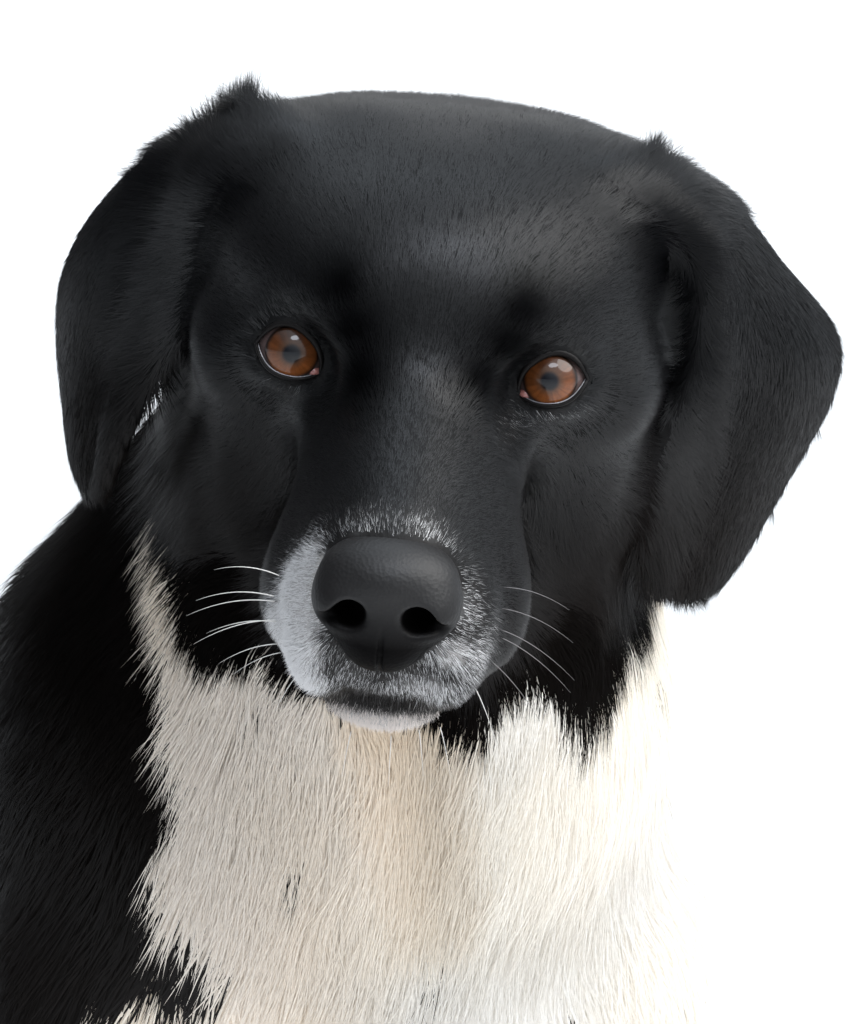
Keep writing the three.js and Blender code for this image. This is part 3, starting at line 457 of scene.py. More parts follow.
def skin_distance(p):
    """Distance from the whole skin: parts joined, then creases, mouth, nostrils and eyes cut in."""
    part = part_distances(p)
    q = to_head(p)
    front = blend_union(part["foreleg"], part["toes"], 5)
    hind = blend_union(part["hindleg"], part["toes"], 5)
    f = blend_union(blend_union(part["trunk"], front, 24), hind, 16)
    f = blend_union(f, part["tail"], 26)
    f = blend_union(f, part["neck"], 34)
    f = cut(CHEST_CREASE, p, f)
    f = blend_union(f, part["head"], 18)
    for ear in ("ear_left", "ear_right"):
        f = blend_union(f, part[ear], EAR_BLEND)
    f = union(LIDS, q, f)
    f = cut(MOUTH + LIP_CLEFT + CHEEK_CREASE, q, f)
    f = blend_cut(f, union(NOSTRILS, q) - 1.0, 1)
    for side in (1, -1):
        f = blend_cut(f, lid_opening(q, side), 1.0)
    return -blend_union(-f, p[:, 2] - 0.3, 2)


def nose_distance(q):
    """Distance from the nose pad, in the head's frame."""
    return cut(PHILTRUM, q, cut(NOSTRILS, q, union(NOSE, q)))


def mouth_distance(q):
    return union(MOUTH, q)


def eyes_distance(q):
    """Distance from the nearer of the two openings between the lids."""
    return np.minimum(lid_opening(q, 1), lid_opening(q, -1))


# ---- surfaces from a field
FAR = 1e3                                    # stands for the distance where it isn't worked out
LONGEST_STEP, CAUTION = 3, .85               # for each step of a vertex towards the surface


def graded(low, high, coarse, fine_low, fine_high, fine):
    """Grid lines, close together in one stretch."""
    left = np.arange(fine_low, low - coarse, -coarse)[::-1]
    middle = np.arange(fine_low + fine, fine_high, fine)
    right = np.arange(fine_high, high + coarse, coarse)
    return np.concatenate([left, middle, right]).astype(np.float32)


def sampled(distance, axes, stride=4, slack=1.35, batch=300000):
    """The field on the grid near its surface, and a far value elsewhere."""
    shape = tuple(len(axis) for axis in axes)
    picks = [np.unique(np.append(np.arange(0, n, stride), n - 1)) for n in shape]
    grid = np.meshgrid(*(axis[pick] for axis, pick in zip(axes, picks)), indexing="ij")
    rough = distance(np.stack([g.ravel() for g in grid], 1)).reshape(grid[0].shape)
    spread = [np.minimum((np.arange(n) / stride).round().astype(int), len(pick) - 1)
              for n, pick in zip(shape, picks)]
    guess = rough[np.ix_(*spread)]
    steps = [np.gradient(axis) * stride for axis in axes]
    reach = np.sqrt(steps[0][:, None, None] ** 2 + steps[1][None, :, None] ** 2
                    + steps[2][None, None, :] ** 2) * .5 * slack + 3
    values = np.where(guess > 0, FAR, -FAR).astype(np.float32)
    where = np.nonzero(np.abs(guess) < reach)
    points = np.stack([axes[i][where[i]] for i in range(3)], 1)
    found = [distance(points[i:i + batch]) for i in range(0, len(points), batch)]
    values[where] = np.concatenate(found)
    return values


def net_vertices(values, axes, corner):
    """For each cell, the middle of the places where the surface crosses its edges."""
    total, hits = np.zeros(corner.shape), np.zeros(len(corner))
    for d in range(3):
        others = [k for k in range(3) if k != d]
        for u, v in np.ndindex(2, 2):
            a = corner.copy()
            a[:, others] += (u, v)
            b = a.copy()
            b[:, d] += 1
            fa, fb = values[tuple(a.T)], values[tuple(b.T)]
            crossed = (fa < 0) != (fb < 0)
            t = np.where(crossed, fa / np.where(crossed, fa - fb, 1), 0)
            place = np.stack([axes[k][a[:, k]] for k in range(3)], 1).astype(float)
            place[:, d] += t * (axes[d][b[:, d]] - axes[d][a[:, d]])
            total += place * crossed[:, None]
            hits += crossed
    return total / hits[:, None]


def net_faces(inside, number):
    """A four-sided face over each edge of the grid that the surface crosses, from the cells round it."""
    faces = []
    for d in range(3):
        o1, o2 = [(1, 2), (2, 0), (0, 1)][d]
        first = [slice(1, n - 1) for n in inside.shape]
        second = list(first)
        first[d], second[d] = slice(0, inside.shape[d] - 1), slice(1, inside.shape[d])
        a, b = inside[tuple(first)], inside[tuple(second)]
        change = np.nonzero(a != b)
        base = [c + (k != d) for k, c in enumerate(change)]
        quad = []
        for back1, back2 in ((1, 1), (0, 1), (0, 0), (1, 0)):
            at = [c.copy() for c in base]
            at[o1] -= back1
            at[o2] -= back2
            quad.append(number[tuple(at)])
        quad = np.stack(quad, 1)
        quad[~a[change]] = quad[~a[change]][:, ::-1]
        faces.append(quad)
    return np.concatenate(faces)


def surface_net(values, axes):
    """Vertices and four-sided faces of the surface where the values change sign."""
    inside = values < 0
    cells = tuple(n - 1 for n in values.shape)
    count = np.zeros(cells, np.int8)
    for dx, dy, dz in np.ndindex(2, 2, 2):
        count += inside[dx:cells[0] + dx, dy:cells[1] + dy, dz:cells[2] + dz]
    where = np.nonzero((count > 0) & (count < 8))
    number = np.full(cells, -1, np.int64)
    number[where] = np.arange(len(where[0]))
    return net_vertices(values, axes, np.stack(where, 1)), net_faces(inside, number)


def slope_of(distance, p, base, reach=.4):
    """How the distance changes along each axis, from its values a short step away."""
    steps = np.eye(3, dtype=np.float32) * reach
    return np.stack([distance(p + step) - base for step in steps], 1) / reach


def settled(distance, vertices):
    """Vertices moved onto the surface in two careful steps along the slope."""
    p = vertices.astype(np.float32)
    for _ in range(2):
        base = distance(p)
        slope = slope_of(distance, p, base)
        step = -(base / ((slope ** 2).sum(1) + 1e-6))[:, None] * slope
        length = np.linalg.norm(step, axis=1)[:, None] + 1e-9
        p = p + step * np.minimum(1, LONGEST_STEP / length) * CAUTION
    return p


def summed(vectors, faces, count):
    """At each vertex the sum of the vectors of the four-sided faces round it."""
    return np.stack([sum(np.bincount(faces[:, i], vectors[:, k], count) for i in range(4))
                     for k in range(3)], 1)


def face_normals(vertices, faces):
    """Normals of the vertices, from the faces round them."""
    a, b, c, d = (vertices[faces[:, i]] for i in range(4))
    return unit(summed(np.cross(c - a, d - b), faces, len(vertices)))


def evened(normals, faces, rounds):
    """Normals evened out over the faces round them, as thick fur evens out what is under it."""
    for _ in range(rounds):
        normals = unit(summed(normals[faces].mean(1), faces, len(normals)))
    return normals


# ---- noise
def hashed(i, j, k, seed):
    """A number from 0 to 1 for each cell of a grid, always the same for the same cell and seed."""
    h = (i * 73856093) ^ (j * 19349663) ^ (k * 83492791) ^ (seed * 39916801)
    h = ((h ^ (h >> 15)) * 1274126177) & 0x7FFFFFFF
    h = ((h ^ (h >> 13)) * 668265263) & 0x7FFFFFFF
    return ((h ^ (h >> 16)) & 0xFFFF) / 65535.0


def noise(p, size, seed):
    """Smooth noise from 0 to 1 with features of that size."""
    g = np.asarray(p, float) / size
    cell = np.floor(g).astype(np.int64)
    t = g - cell
    t = t * t * (3 - 2 * t)
    total = 0
    for dx, dy, dz in np.ndindex(2, 2, 2):
        weight = (np.abs(1 - dx - t[:, 0]) * np.abs(1 - dy - t[:, 1]) * np.abs(1 - dz - t[:, 2]))
        total = total + weight * hashed(cell[:, 0] + dx, cell[:, 1] + dy, cell[:, 2] + dz, seed)
    return total


def lock_of(p, size, seed):
    """The middle of the lock of hair that each point belongs to, and a number from 0 to 1 for it."""
    g = np.asarray(p, float) / size
    cell = np.floor(g).astype(np.int64)
    best = np.full(len(g), 1e9)
    middle, tone = np.zeros_like(g), np.zeros(len(g))
    for offset in np.ndindex(3, 3, 3):
        c = cell + np.array(offset) - 1
        jitter = np.stack([hashed(c[:, 0], c[:, 1], c[:, 2], seed + k) for k in range(3)], 1)
        candidate = c + .1 + .8 * jitter
        d = ((g - candidate) ** 2).sum(1)
        closer = d < best
        best[closer] = d[closer]
        middle[closer] = candidate[closer]
        tone[closer] = hashed(c[:, 0], c[:, 1], c[:, 2], seed + 7)[closer]
    return middle * size, tone


# ---- markings, and painted light and shade in the coat's colours
def near(p, centre, radii):
    """1 at the centre, falling off smoothly over the radii."""
    return np.exp(-(((p - np.array(centre)) / np.array(radii)) ** 2).sum(1))


# the bib's edge on the dog's right: height, angle round the neck; its top: angle, height
BIB_RIGHT = [(420, -37), (437, -38), (450, -42), (466, -47), (486, -41.5), (503, -40), (522, -44), (540, -47),
             (555, -49)]
BIB_TOP = [(-47, 568), (-44.5, 560), (-42.5, 549), (-40.5, 539), (-39, 535), (-35.5, 532), (-31, 537),
           (-28, 533), (-22, 527), (-14, 522), (-10, 513), (-5, 518), (-1, 525), (2, 521), (5, 510), (8, 503),
           (11, 506), (14, 513), (18, 523), (28, 538), (45, 560), (90, 575)]
BIB_LEFT = 96
# how far back, and the height under which the coat is white there
BELLY = [(-200, 418), (-120, 352), (-60, 300), (0, 236), (60, 120), (120, 66), (260, 60), (400, -90)]


def read_off(table, at):
    """The second column of a table at a value of its first."""
    return np.interp(at, *zip(*table))


def whiteness(p):
    """How white the body's coat is: over 0.5 is white."""
    jag = (noise(p, 15, seed=11) - .5) * 15 + (noise(p, 5, seed=12) - .5) * 8
    around = np.degrees(np.arctan2(p[:, 0], -(p[:, 1] + 100)))
    sides = np.minimum(around - read_off(BIB_RIGHT, p[:, 2]), BIB_LEFT - around)
    bib = sides * 2.0                                   # a degree is about 2 mm there
    bib = np.minimum(bib, read_off(BIB_TOP, around) - p[:, 2])
    low = read_off(BELLY, p[:, 1]) - p[:, 2]
    tail_end = (p - (110, 462, 20)) @ np.array([.75, .6, 0.])
    calm = near(p, (-95, -200, 543), (18, 18, 24))      # a narrow white inlet here has smooth edges
    edge = np.maximum(np.maximum(bib, low), tail_end) + jag * (1 - .8 * calm)
    return np.clip(edge / 3 + .5, 0, 1)


SPOTS = [((-60, -235, 462), 6), ((-12, -233, 418), 8), ((-80, -237, 517), 8), ((73, -240, 510), 7),
         ((54, -216, 397), 4), ((-96, -160, 380), 9), ((95, -150, 350), 7)]


def spottedness(p):
    """How much dark ticking there is on the white coat."""
    dark = np.zeros(len(p))
    for centre, radius in SPOTS:
        dark = np.maximum(dark, .66 * near(p, centre, (1.2 * radius, 20, 1.2 * radius)))
    middle, tone = lock_of(p, 17, seed=31)
    size = 2.2 + 3.4 * hashed(*np.round(middle * 3).astype(np.int64).T, seed=33)
    tick = np.exp(-(np.linalg.norm(p - middle, axis=1) / size) ** 2) * (tone > .60)
    leg = np.clip((330 - p[:, 2]) / 60, 0, 1)
    return np.maximum(dark, tick * leg * .95)


# grey hairs of age, in the head's frame: centre, radii, how many hairs are white
FROST = [
    ((-30, -78, -42), (11, 15, 14), 2.3), ((-31, -78, -56), (12, 15, 14), 2.7),
    ((-28, -80, -66), (11, 12, 9), 2.1), ((-34, -68, -60), (9, 12, 12), 1.7),
    ((-26, -76, -30), (9, 12, 9), 1.3), ((14, -79, -14), (15, 9, 8), .5),
    ((-12, -79, -15), (15, 9, 7), .48), ((24, -84, -34), (10, 11, 14), .60),
    ((21, -86, -50), (10, 10, 8), .85), ((26, -80, -54), (11, 13, 12), .6),
    ((14, -84, -64), (18, 14, 10), .72), ((-9, -84, -61), (12, 12, 8), .5),
    ((0, -72, -88), (28, 16, 8), 1.8), ((0, -76, -82), (22, 10, 5), 1.6),
    ((40, -7, -10.5), (16, 12, 4.5), .3), ((-39, -6, -10), (14, 12, 4.5), .1),
]


def frost(q):
    """How much grey there is, from nothing at 0."""
    amount = np.zeros(len(q))
    for centre, radii, share in FROST:
        amount = np.maximum(amount, share * near(q, centre, radii))
    return amount


# where the coat shines less: centre, radii and how much less, in the head's frame
DULLER = [
    ((47, 20, 39), (20, 30, 20), .5), ((-58, 12, -36), (26, 34, 40), .45),
    ((-66, 26, -50), (24, 34, 26), .5), ((-92, 64, 10), (28, 44, 34), .6),
    ((38, -54, -50), (14, 24, 20), .5), ((70, 44, 44), (16, 26, 20), .6),
    ((60, 17, -86), (24, 30, 20), .92), ((64, 22, -62), (20, 26, 17), .7),
    ((0, 20, 42), (34, 26, 26), .22), ((75, 46, 14), (10, 16, 26), .9),
]
BROW_PATCHES = [
    ((-25, -9, 27), (11, 15, 12)), ((-20, -15, 15), (12, 15, 13)), ((-17, -21, 3), (10, 13, 11)),
    ((29, -8, 25), (12, 15, 12)), ((25, -12, 14), (12, 15, 13)), ((19, -19, 4), (10, 13, 10)),
]


def backness(p):
    """0 on the neck and 1 from the shoulders down and back."""
    return np.clip(np.maximum((530 - p[:, 2]) / 100, (p[:, 1] + 140) / 80), 0, 1)


def brow_darkness(q):
    """1 in the dark patches over the eyes."""
    inside = np.max([near(q, centre, radii) for centre, radii in BROW_PATCHES], axis=0)
    return np.clip(1.08 * inside - .03, 0, 1)


def coat_colours(p, on_head, draw):
    """Colour of the hair that grows at each point, with painted shade on the neck and in the chest's crease
    and painted warm light on the dog's right. draw is a number from 0 to 1 for each.
    """
    q = to_head(np.asarray(p, float))
    lower = np.clip((-q[:, 2] - 10) / 60, 0, 1)[:, None]         # the black is browner low on the head
    black = BLACK * (1 - lower) + BROWN_BLACK * lower
    # painted shade: the black is darker on the neck and rises to the back's black over the shoulders
    body = NECK_SHADE + (1 - NECK_SHADE) * backness(p)
    black = black * np.where(on_head, 1 - .55 * brow_darkness(q), body)[:, None]
    cream = noise(p, 40, seed=21)[:, None]
    shade = np.clip((draw[:, None] - .5) * .05 + 1, .9, 1.05)
    white = WHITE * (1 - cream * CREAM) * shade
    # painted shade along the crease of the chest
    crease_shade = np.clip(1 - union(CHEST_CREASE, np.asarray(p, np.float32)) / 16, 0, 1)[:, None]
    # painted light: a warmer white on the dog's right, for the shaded bib lit through the fur
    right = np.clip((-15 - p[:, :1]) / 40, 0, 1)
    white = white * (1 - crease_shade * CREASE_SHADE_TAN) * (1 + right * RIGHT_WARM_LIGHT)
    pale = (whiteness(p) > draw) & (spottedness(p) <= .35 + .45 * draw)
    colour = np.where(pale[:, None], white, black)
    grey = np.clip((frost(q) - .85 * draw) * 2.2, 0, 1)[:, None]
    lips = mouth_distance(q.astype(np.float32))
    grey = grey * np.clip((lips - .6) / np.where(q[:, 2] < -75, .8, 2.0), 0, 1)[:, None]
    chin = np.clip((-q[:, 2:] - 72) / 6, 0, 1)
    head_colour = black * (1 - grey) + GREY * (1 - chin * CHIN_WARMTH) * grey
    return np.where(on_head[:, None], head_colour, colour)


def glossiness(p, on_head):
    """How much the coat shines: most on the head, least in the dark patches over the eyes."""
    q = to_head(np.asarray(p, float))
    head = np.clip(.80 + .0065 * (q[:, 2] + 20), .16, 1)         # less down the face
    head = head * (1 - .93 * brow_darkness(q))
    for centre, radii, less in DULLER:
        head = head * (1 - less * near(q, centre, radii))
    # fur behind an ear's front edge shines less the nearer it is to the ear, but not the ear itself
    from_ear = np.minimum(*(ear_distance(ear, q.astype(np.float32)) for ear in EARS))
    away = np.clip((from_ear - 2) / 18, .12, 1)
    behind = np.clip((q[:, 1] - 18) / 14, 0, 1) * (q[:, 2] < 36) * (from_ear > 1.8)
    head = head * (1 - behind + behind * away)
    head = head * np.where(np.abs(q[:, 0]) > 84, .7, 1)          # less on the outer sides of the ears
    head = head * (1 - .25 * np.clip((q[:, 2] - 42) / 15, 0, 1))     # and on top of the skull
    return np.where(on_head, head, NECK_GLOSS + (BACK_GLOSS - NECK_GLOSS) * backness(p))


# ---- lie of the coat
# place, direction, reach, length of hair and lift off the skin in degrees, and BOTH to mirror it
BOTH = True
HEAD_LIE = [
    ((0, -72, -12), (0, 1, .35), 14, 3.6, 6), ((0, -45, -3), (0, 1, .3), 18, 4.4, 5),
    ((0, -12, 8), (0, .75, .65), 16, 5, 5), ((0, 20, 44), (0, .9, .45), 24, 6.5, 4.5),
    ((0, 70, 56), (0, 1, 0), 35, 8, 5), ((34, 25, 40), (.35, .9, .1), 24, 7.5, 5, BOTH),
    ((24, -6, 20), (.35, .55, .75), 12, 4.6, 7, BOTH), ((38, 0, 15), (.5, .6, .6), 12, 4, 6, BOTH),
    ((56, 22, 10), (.35, .95, -.1), 16, 6, 5, BOTH), ((22, -12, -12), (.55, .25, -.8), 10, 3.6, 6, BOTH),
    ((40, -4, -17), (.55, .65, -.5), 12, 4, 6, BOTH), ((13, -45, -14), (.5, .8, -.25), 14, 4, 5, BOTH),
    ((19, -50, -35), (.35, .8, -.45), 16, 4, 5, BOTH), ((21, -80, -38), (.75, .45, -.45), 9, 3.4, 9, BOTH),
    ((8, -86, -58), (.25, .1, -1), 8, 3.2, 9, BOTH), ((22, -62, -62), (.4, .5, -.8), 14, 4.2, 8, BOTH),
    ((32, -25, -50), (.25, .85, -.5), 20, 5.5, 5, BOTH), ((32, -15, -72), (.15, .75, -.65), 16, 7, 9, BOTH),
    ((0, -72, -78), (0, .35, -.95), 12, 4.5, 9), ((0, -20, -95), (0, .97, -.25), 22, 8, 9),
    ((40, 20, -78), (.1, .85, -.5), 22, 11, 9, BOTH), ((58, 30, -25), (.2, .9, -.4), 24, 7.5, 5, BOTH),
    ((62, 75, -40), (.2, .75, -.65), 30, 16, 9, BOTH), ((50, 85, 30), (.5, .8, -.3), 25, 12, 8, BOTH),
    ((0, 110, 20), (0, .8, -.6), 40, 16, 9),
]
BODY_LIE = [
    ((0, -75, 600), (0, .55, -.85), 60, 24, 9.9), ((95, -140, 560), (.1, .45, -.9), 60, 24, 11.2, BOTH),
    ((-15, -235, 560), (0, .05, -1), 50, 24, 12.4), ((0, -222, 450), (0, .12, -1), 60, 34, 12.4),
    ((75, -190, 430), (.25, .2, -.95), 60, 32, 11.2, BOTH), ((0, -190, 340), (0, .25, -.95), 50, 34, 12.4),
    ((100, -110, 440), (.1, .5, -.85), 70, 26, 9.3, BOTH), ((0, 0, 490), (0, .75, -.6), 80, 25, 7.4),
    ((0, 110, 360), (0, .6, -.8), 90, 26, 7.4), ((0, 220, 180), (0, .5, -.87), 80, 28, 9.3),
    ((110, 60, 280), (.05, .6, -.8), 90, 24, 7.4, BOTH), ((135, 90, 150), (0, .35, -.9), 70, 21, 8.1, BOTH),
    ((120, 20, 200), (0, .1, -1), 50, 17, 7.4, BOTH), ((125, 140, 60), (0, .3, -.95), 40, 13, 7.4, BOTH),
    ((127, 40, 45), (0, -1, -.3), 35, 9, 6.8, BOTH), ((127, -15, 20), (0, -.95, -.3), 22, 5.5, 6.8, BOTH),
    ((88, -120, 260), (0, .3, -.95), 50, 14, 7.4, BOTH), ((80, -82, 240), (0, .85, -.6), 28, 30, 14.9, BOTH),
    ((74, -150, 150), (0, .2, -1), 40, 10, 6.8, BOTH), ((74, -108, 150), (0, .85, -.6), 22, 22, 13.6, BOTH),
    ((70, -165, 70), (0, -.3, -.95), 30, 8, 6.8, BOTH), ((68, -195, 25), (0, -.95, -.35), 24, 5.5, 6.8, BOTH),
    ((0, 270, 100), (0, .75, -.65), 40, 34, 12.4), ((15, 340, 50), (.2, .95, -.1), 45, 44, 13.6),
    ((60, 415, 36), (.65, .75, 0), 45, 48, 13.6), ((125, 462, 25), (.93, .35, -.1), 45, 30, 8),
    ((0, -60, 300), (0, .5, -.85), 60, 20, 7.4),
]
# tufts that stand out at the tops of the ears, in the head's frame
EAR_TUFTS = [
    ((66, 60, 53), (.3, .1, .9), 8, 17, 26), ((-64, 66, 46), (-.5, .2, .85), 13, 19, 24),
    ((84, 64, 40), (.8, .35, -.1), 9, 9, 6), ((-100, 72, 24), (-.75, .3, -.1), 12, 13, 19),
]


def guides_of(table, in_head):
    """Guides of the coat's lie, in the body's frame."""
    rows = []
    for place, direction, reach, length, lift, *both in table:
        for side in sides_of(both):
            at, way = (np.array(mirrored(v, side), float) for v in (place, direction))
            if in_head:
                at, way = from_head(at), HEAD @ way
            rows.append((at, way, reach, length, lift))
    return rows


def ear_guides(ear):
    """Guides that run down an ear's flap."""
    guides = []
    for u in np.arange(.3, len(ear[0]) - 1, .8):
        for v in (-.9, 0, .9):
            at, along, across, _ = flap_point(ear, np.array([u]), np.array([v], np.float32))
            direction = unit(along[0]) + .25 * v * unit(across[0])
            guides.append((from_head(at[0]), HEAD @ direction, 14, 7.5 - 1.5 * abs(v), 4.5))
    return guides


TUFT_GUIDES = guides_of(EAR_TUFTS, True)
BODY_GUIDES = guides_of(HEAD_LIE, True) + guides_of(BODY_LIE, False) + TUFT_GUIDES
EAR_GUIDES = [ear_guides(ear) for ear in EARS]


def lie_at(p, guides):
    """Direction, length and lift of the hair at each point, weighed from the guides near it."""
    direction, total = np.zeros((len(p), 3)), np.zeros(len(p))
    length, lift = np.zeros(len(p)), np.zeros(len(p))
    for place, way, reach, hair, angle in guides:
        d = ((p - place) ** 2).sum(1) / reach ** 2
        weight = (d + .04) ** -2.5
        direction += weight[:, None] * unit(way)
        length += weight * hair
        lift += weight * angle
        total += weight
    return unit(direction), length / total, lift / total


# ---- meshes
SKEW = np.array([.31, .17, .93])             # no tube runs this way, so it tells across from ahead


def add_piece(name, mesh, material, replaced=(), tint=None, gloss=1.0):
    """A smooth piece of the model from its points, in the body's frame, and its faces."""
    points, faces = mesh[0], np.asarray(mesh[1], np.int32)
    count, sides = faces.shape
    data = bpy.data.meshes.new(name)
    data.vertices.add(len(points))
    data.vertices.foreach_set("co", placed(points).astype(np.float32).ravel())
    data.loops.add(faces.size)
    data.loops.foreach_set("vertex_index", faces.ravel())
    data.polygons.add(count)
    data.polygons.foreach_set("loop_start", np.arange(count, dtype=np.int32) * sides)
    data.polygons.foreach_set("use_smooth", np.ones(count, bool))
    data.update(calc_edges=True)
    if tint is not None:
        layer = data.color_attributes.new("tint", "FLOAT_COLOR", "POINT")
        rgba = np.ones((len(points), 4), np.float32)
        rgba[:, :3], rgba[:, 3] = tint, gloss
        layer.data.foreach_set("color", rgba.ravel())
    data.materials.append(material)
    thing = new_object(name, data)
    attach(thing, "root")
    if replaced:
        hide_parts(*replaced)
    return thing


def ring_faces(rings, around, closed=False):
    """Triangles between rings of points, each with as many points."""
    faces = []
    for i in range(rings if closed else rings - 1):
        for k in range(around):
            a, b = i * around + k, i * around + (k + 1) % around
            c, d = ((i + 1) % rings * around + j % around for j in (k + 1, k))
            faces += [(a, b, c), (a, c, d)]
    return faces


def capped_faces(rings, around, turned=False):
    """The same with a point at each end, which come after the rings' points. turned faces the other way."""
    faces = ring_faces(rings, around)
    first, base = rings * around, (rings - 1) * around
    for k in range(around):
        after = (k + 1) % around
        faces += [(first, after, k), (first + 1, base + k, base + after)]
    return np.array(faces)[:, ::-1 if turned else 1]


def rings_along(path, across, other, radii, sides):
    """Rings of points round a path, each in the plane of the two directions across it."""
    angle = np.arange(sides) / sides * 2 * math.pi
    ring = np.cos(angle)[None, :, None] * across[:, None] + np.sin(angle)[None, :, None] * other[:, None]
    return (path[:, None] + ring * np.asarray(radii)[:, None, None]).reshape(-1, 3)


def tube(path, radii, sides=8):
    """Points and triangles of a closed tube along a path."""
    path = np.asarray(path, float)
    ahead = unit(np.gradient(path, axis=0))
    across = unit(np.cross(ahead, SKEW))
    points = rings_along(path, across, np.cross(ahead, across), radii, sides)
    return np.vstack([points, path[:1], path[-1:]]), capped_faces(len(path), sides)


def ring_tube(path, radii, sides=10):
    """Points and triangles of a tube along a closed path."""
    ahead = unit(np.roll(path, -1, 0) - np.roll(path, 1, 0))
    across = unit(np.cross(ahead, unit(path - path.mean(0))))
    points = rings_along(path, across, np.cross(across, ahead), radii, sides)
    return points, np.array(ring_faces(len(path), sides, closed=True))


def ball_mesh(centre, radii, around=20, rings=11):
    """Points and triangles of an ellipsoid."""
    polar, angle = np.meshgrid(np.arange(1, rings + 1) / (rings + 1) * math.pi,
                               np.arange(around) / around * 2 * math.pi, indexing="ij")
    grid = np.stack([np.sin(polar) * np.cos(angle), np.sin(polar) * np.sin(angle), np.cos(polar)], -1)
    points = np.vstack([grid.reshape(-1, 3), [(0, 0, 1), (0, 0, -1)]]) * radii + centre
    return points, capped_faces(rings, around, turned=True)


def joined(parts):
    """Several (points, triangles) as one."""
    points, faces, start = [], [], 0
    for p, f in parts:
        points.append(p)
        faces.append(np.asarray(f) + start)
        start += len(p)
    return np.vstack(points), np.vstack(faces)


# ---- materials
def new_material(name):
    material = bpy.data.materials.new(name)
    material.use_nodes = True
    return material


def shader_of(material):
    return material.node_tree.nodes["Principled BSDF"]


def add_node(tree, kind, operation=None, **settings):
    """A new node with its inputs set by name."""
    node = tree.nodes.new(kind)
    if operation:
        node.operation = operation
    for key, value in settings.items():
        node.inputs[key.replace("_", " ")].default_value = value
    return node


def add_bump(material, texture, strength, distance, scale, output, **settings):
    """Bump on the shader from a texture over the object's own coordinates."""
    tree = material.node_tree
    place = add_node(tree, "ShaderNodeTexCoord")
    pattern = add_node(tree, texture, Scale=scale, **settings)
    bump = add_node(tree, "ShaderNodeBump", Strength=strength, Distance=distance)
    tree.links.new(place.outputs["Object"], pattern.inputs["Vector"])
    tree.links.new(pattern.outputs[output], bump.inputs["Height"])
    tree.links.new(bump.outputs["Normal"], shader_of(material).inputs["Normal"])


def tinted_material(name, roughness, specular):
    """A surface that takes its colour and gloss from the mesh's tint, broken up by fine noise."""
    material = new_material(name)
    tree, links, shader = material.node_tree, material.node_tree.links, shader_of(material)
    tint = add_node(tree, "ShaderNodeVertexColor")
    tint.layer_name = "tint"
    place = add_node(tree, "ShaderNodeTexCoord")
    grain = add_node(tree, "ShaderNodeTexNoise", Scale=900)
    spread = add_node(tree, "ShaderNodeMapRange", To_Min=.8, To_Max=1.2)
    mix = add_node(tree, "ShaderNodeVectorMath", "SCALE")
    links.new(place.outputs["Object"], grain.inputs["Vector"])
    links.new(grain.outputs["Fac"], spread.inputs["Value"])
    links.new(tint.outputs["Color"], mix.inputs[0])
    links.new(spread.outputs["Result"], mix.inputs["Scale"])
    links.new(mix.outputs["Vector"], shader.inputs["Base Color"])
    shine = add_node(tree, "ShaderNodeMath", "MULTIPLY")
    shine.inputs[1].default_value = specular
    shader.inputs["Specular IOR Level"].default_value = specular     # what an export without the tint shows
    links.new(tint.outputs["Alpha"], shine.inputs[0])
    links.new(shine.outputs["Value"], shader.inputs["Specular IOR Level"])
    shader.inputs["Roughness"].default_value = roughness
    return material


def plain_material(name, colour, roughness, specular=.5, coat=0.0):
    material = new_material(name)
    settings = {"Base Color": (*colour, 1), "Roughness": roughness, "Specular IOR Level": specular,
                "Coat Weight": coat}
    for key, value in settings.items():
        shader_of(material).inputs[key].default_value = value
    return material


# ---- skin
# along x, y and z: the body's reach and the stretch with the head, which has the finer grid
SKIN_GRID = [(-190, 215, -166, 95), (-400, 520, -436, -200), (-12, 735, 512, 735)]
NORMAL_ROUNDS = 16
# the skin's colour: a share of the white and black coat's over it, darker as painted shade of the coat, then
# as it is
UNDER_WHITE_SHADE, UNDER_BLACK_SHADE = np.array([.95, .92, .88]), .45
UNDER_GREY, UNDER_DENSE_GREY = np.array([.06, .055, .053]), np.array([.34, .33, .33])
BARE = (.004, .0035, .0035)


def make_skin():
    axes = [graded(low, high, BODY_STEP, head_low, head_high, HEAD_STEP)
            for low, high, head_low, head_high in SKIN_GRID]
    vertices, faces = surface_net(sampled(skin_distance, axes), axes)
    vertices = settled(skin_distance, vertices)
    return vertices, faces, face_normals(vertices, faces)


def part_of(vertices):
    """The part that each vertex belongs to, as a number in PART_NAMES."""
    part = part_distances(vertices)
    part["head"] = part["head"] - HEAD_REACH
    return np.argmin(np.stack([part[name] for name in PART_NAMES]), axis=0)


PART_NAMES = ["trunk", "foreleg", "hindleg", "toes", "tail", "neck", "head", "ear_left", "ear_right"]
HEAD_PARTS = PART_NAMES[-3:]

skin_points, skin_faces, skin_normals = make_skin()
soft_normals = evened(skin_normals, skin_faces, NORMAL_ROUNDS)
skin_part = part_of(skin_points)
skin_on_head = np.isin(skin_part, [PART_NAMES.index(name) for name in HEAD_PARTS])
skin_in_head = to_head(skin_points)


def bare_skin(q):
    """Where no hair grows: round the eyes, on the lips and under the nose pad."""
    return (eyes_distance(q) < 1.0) | (mouth_distance(q) < .7) | (union(NOSE, q) < -.5)


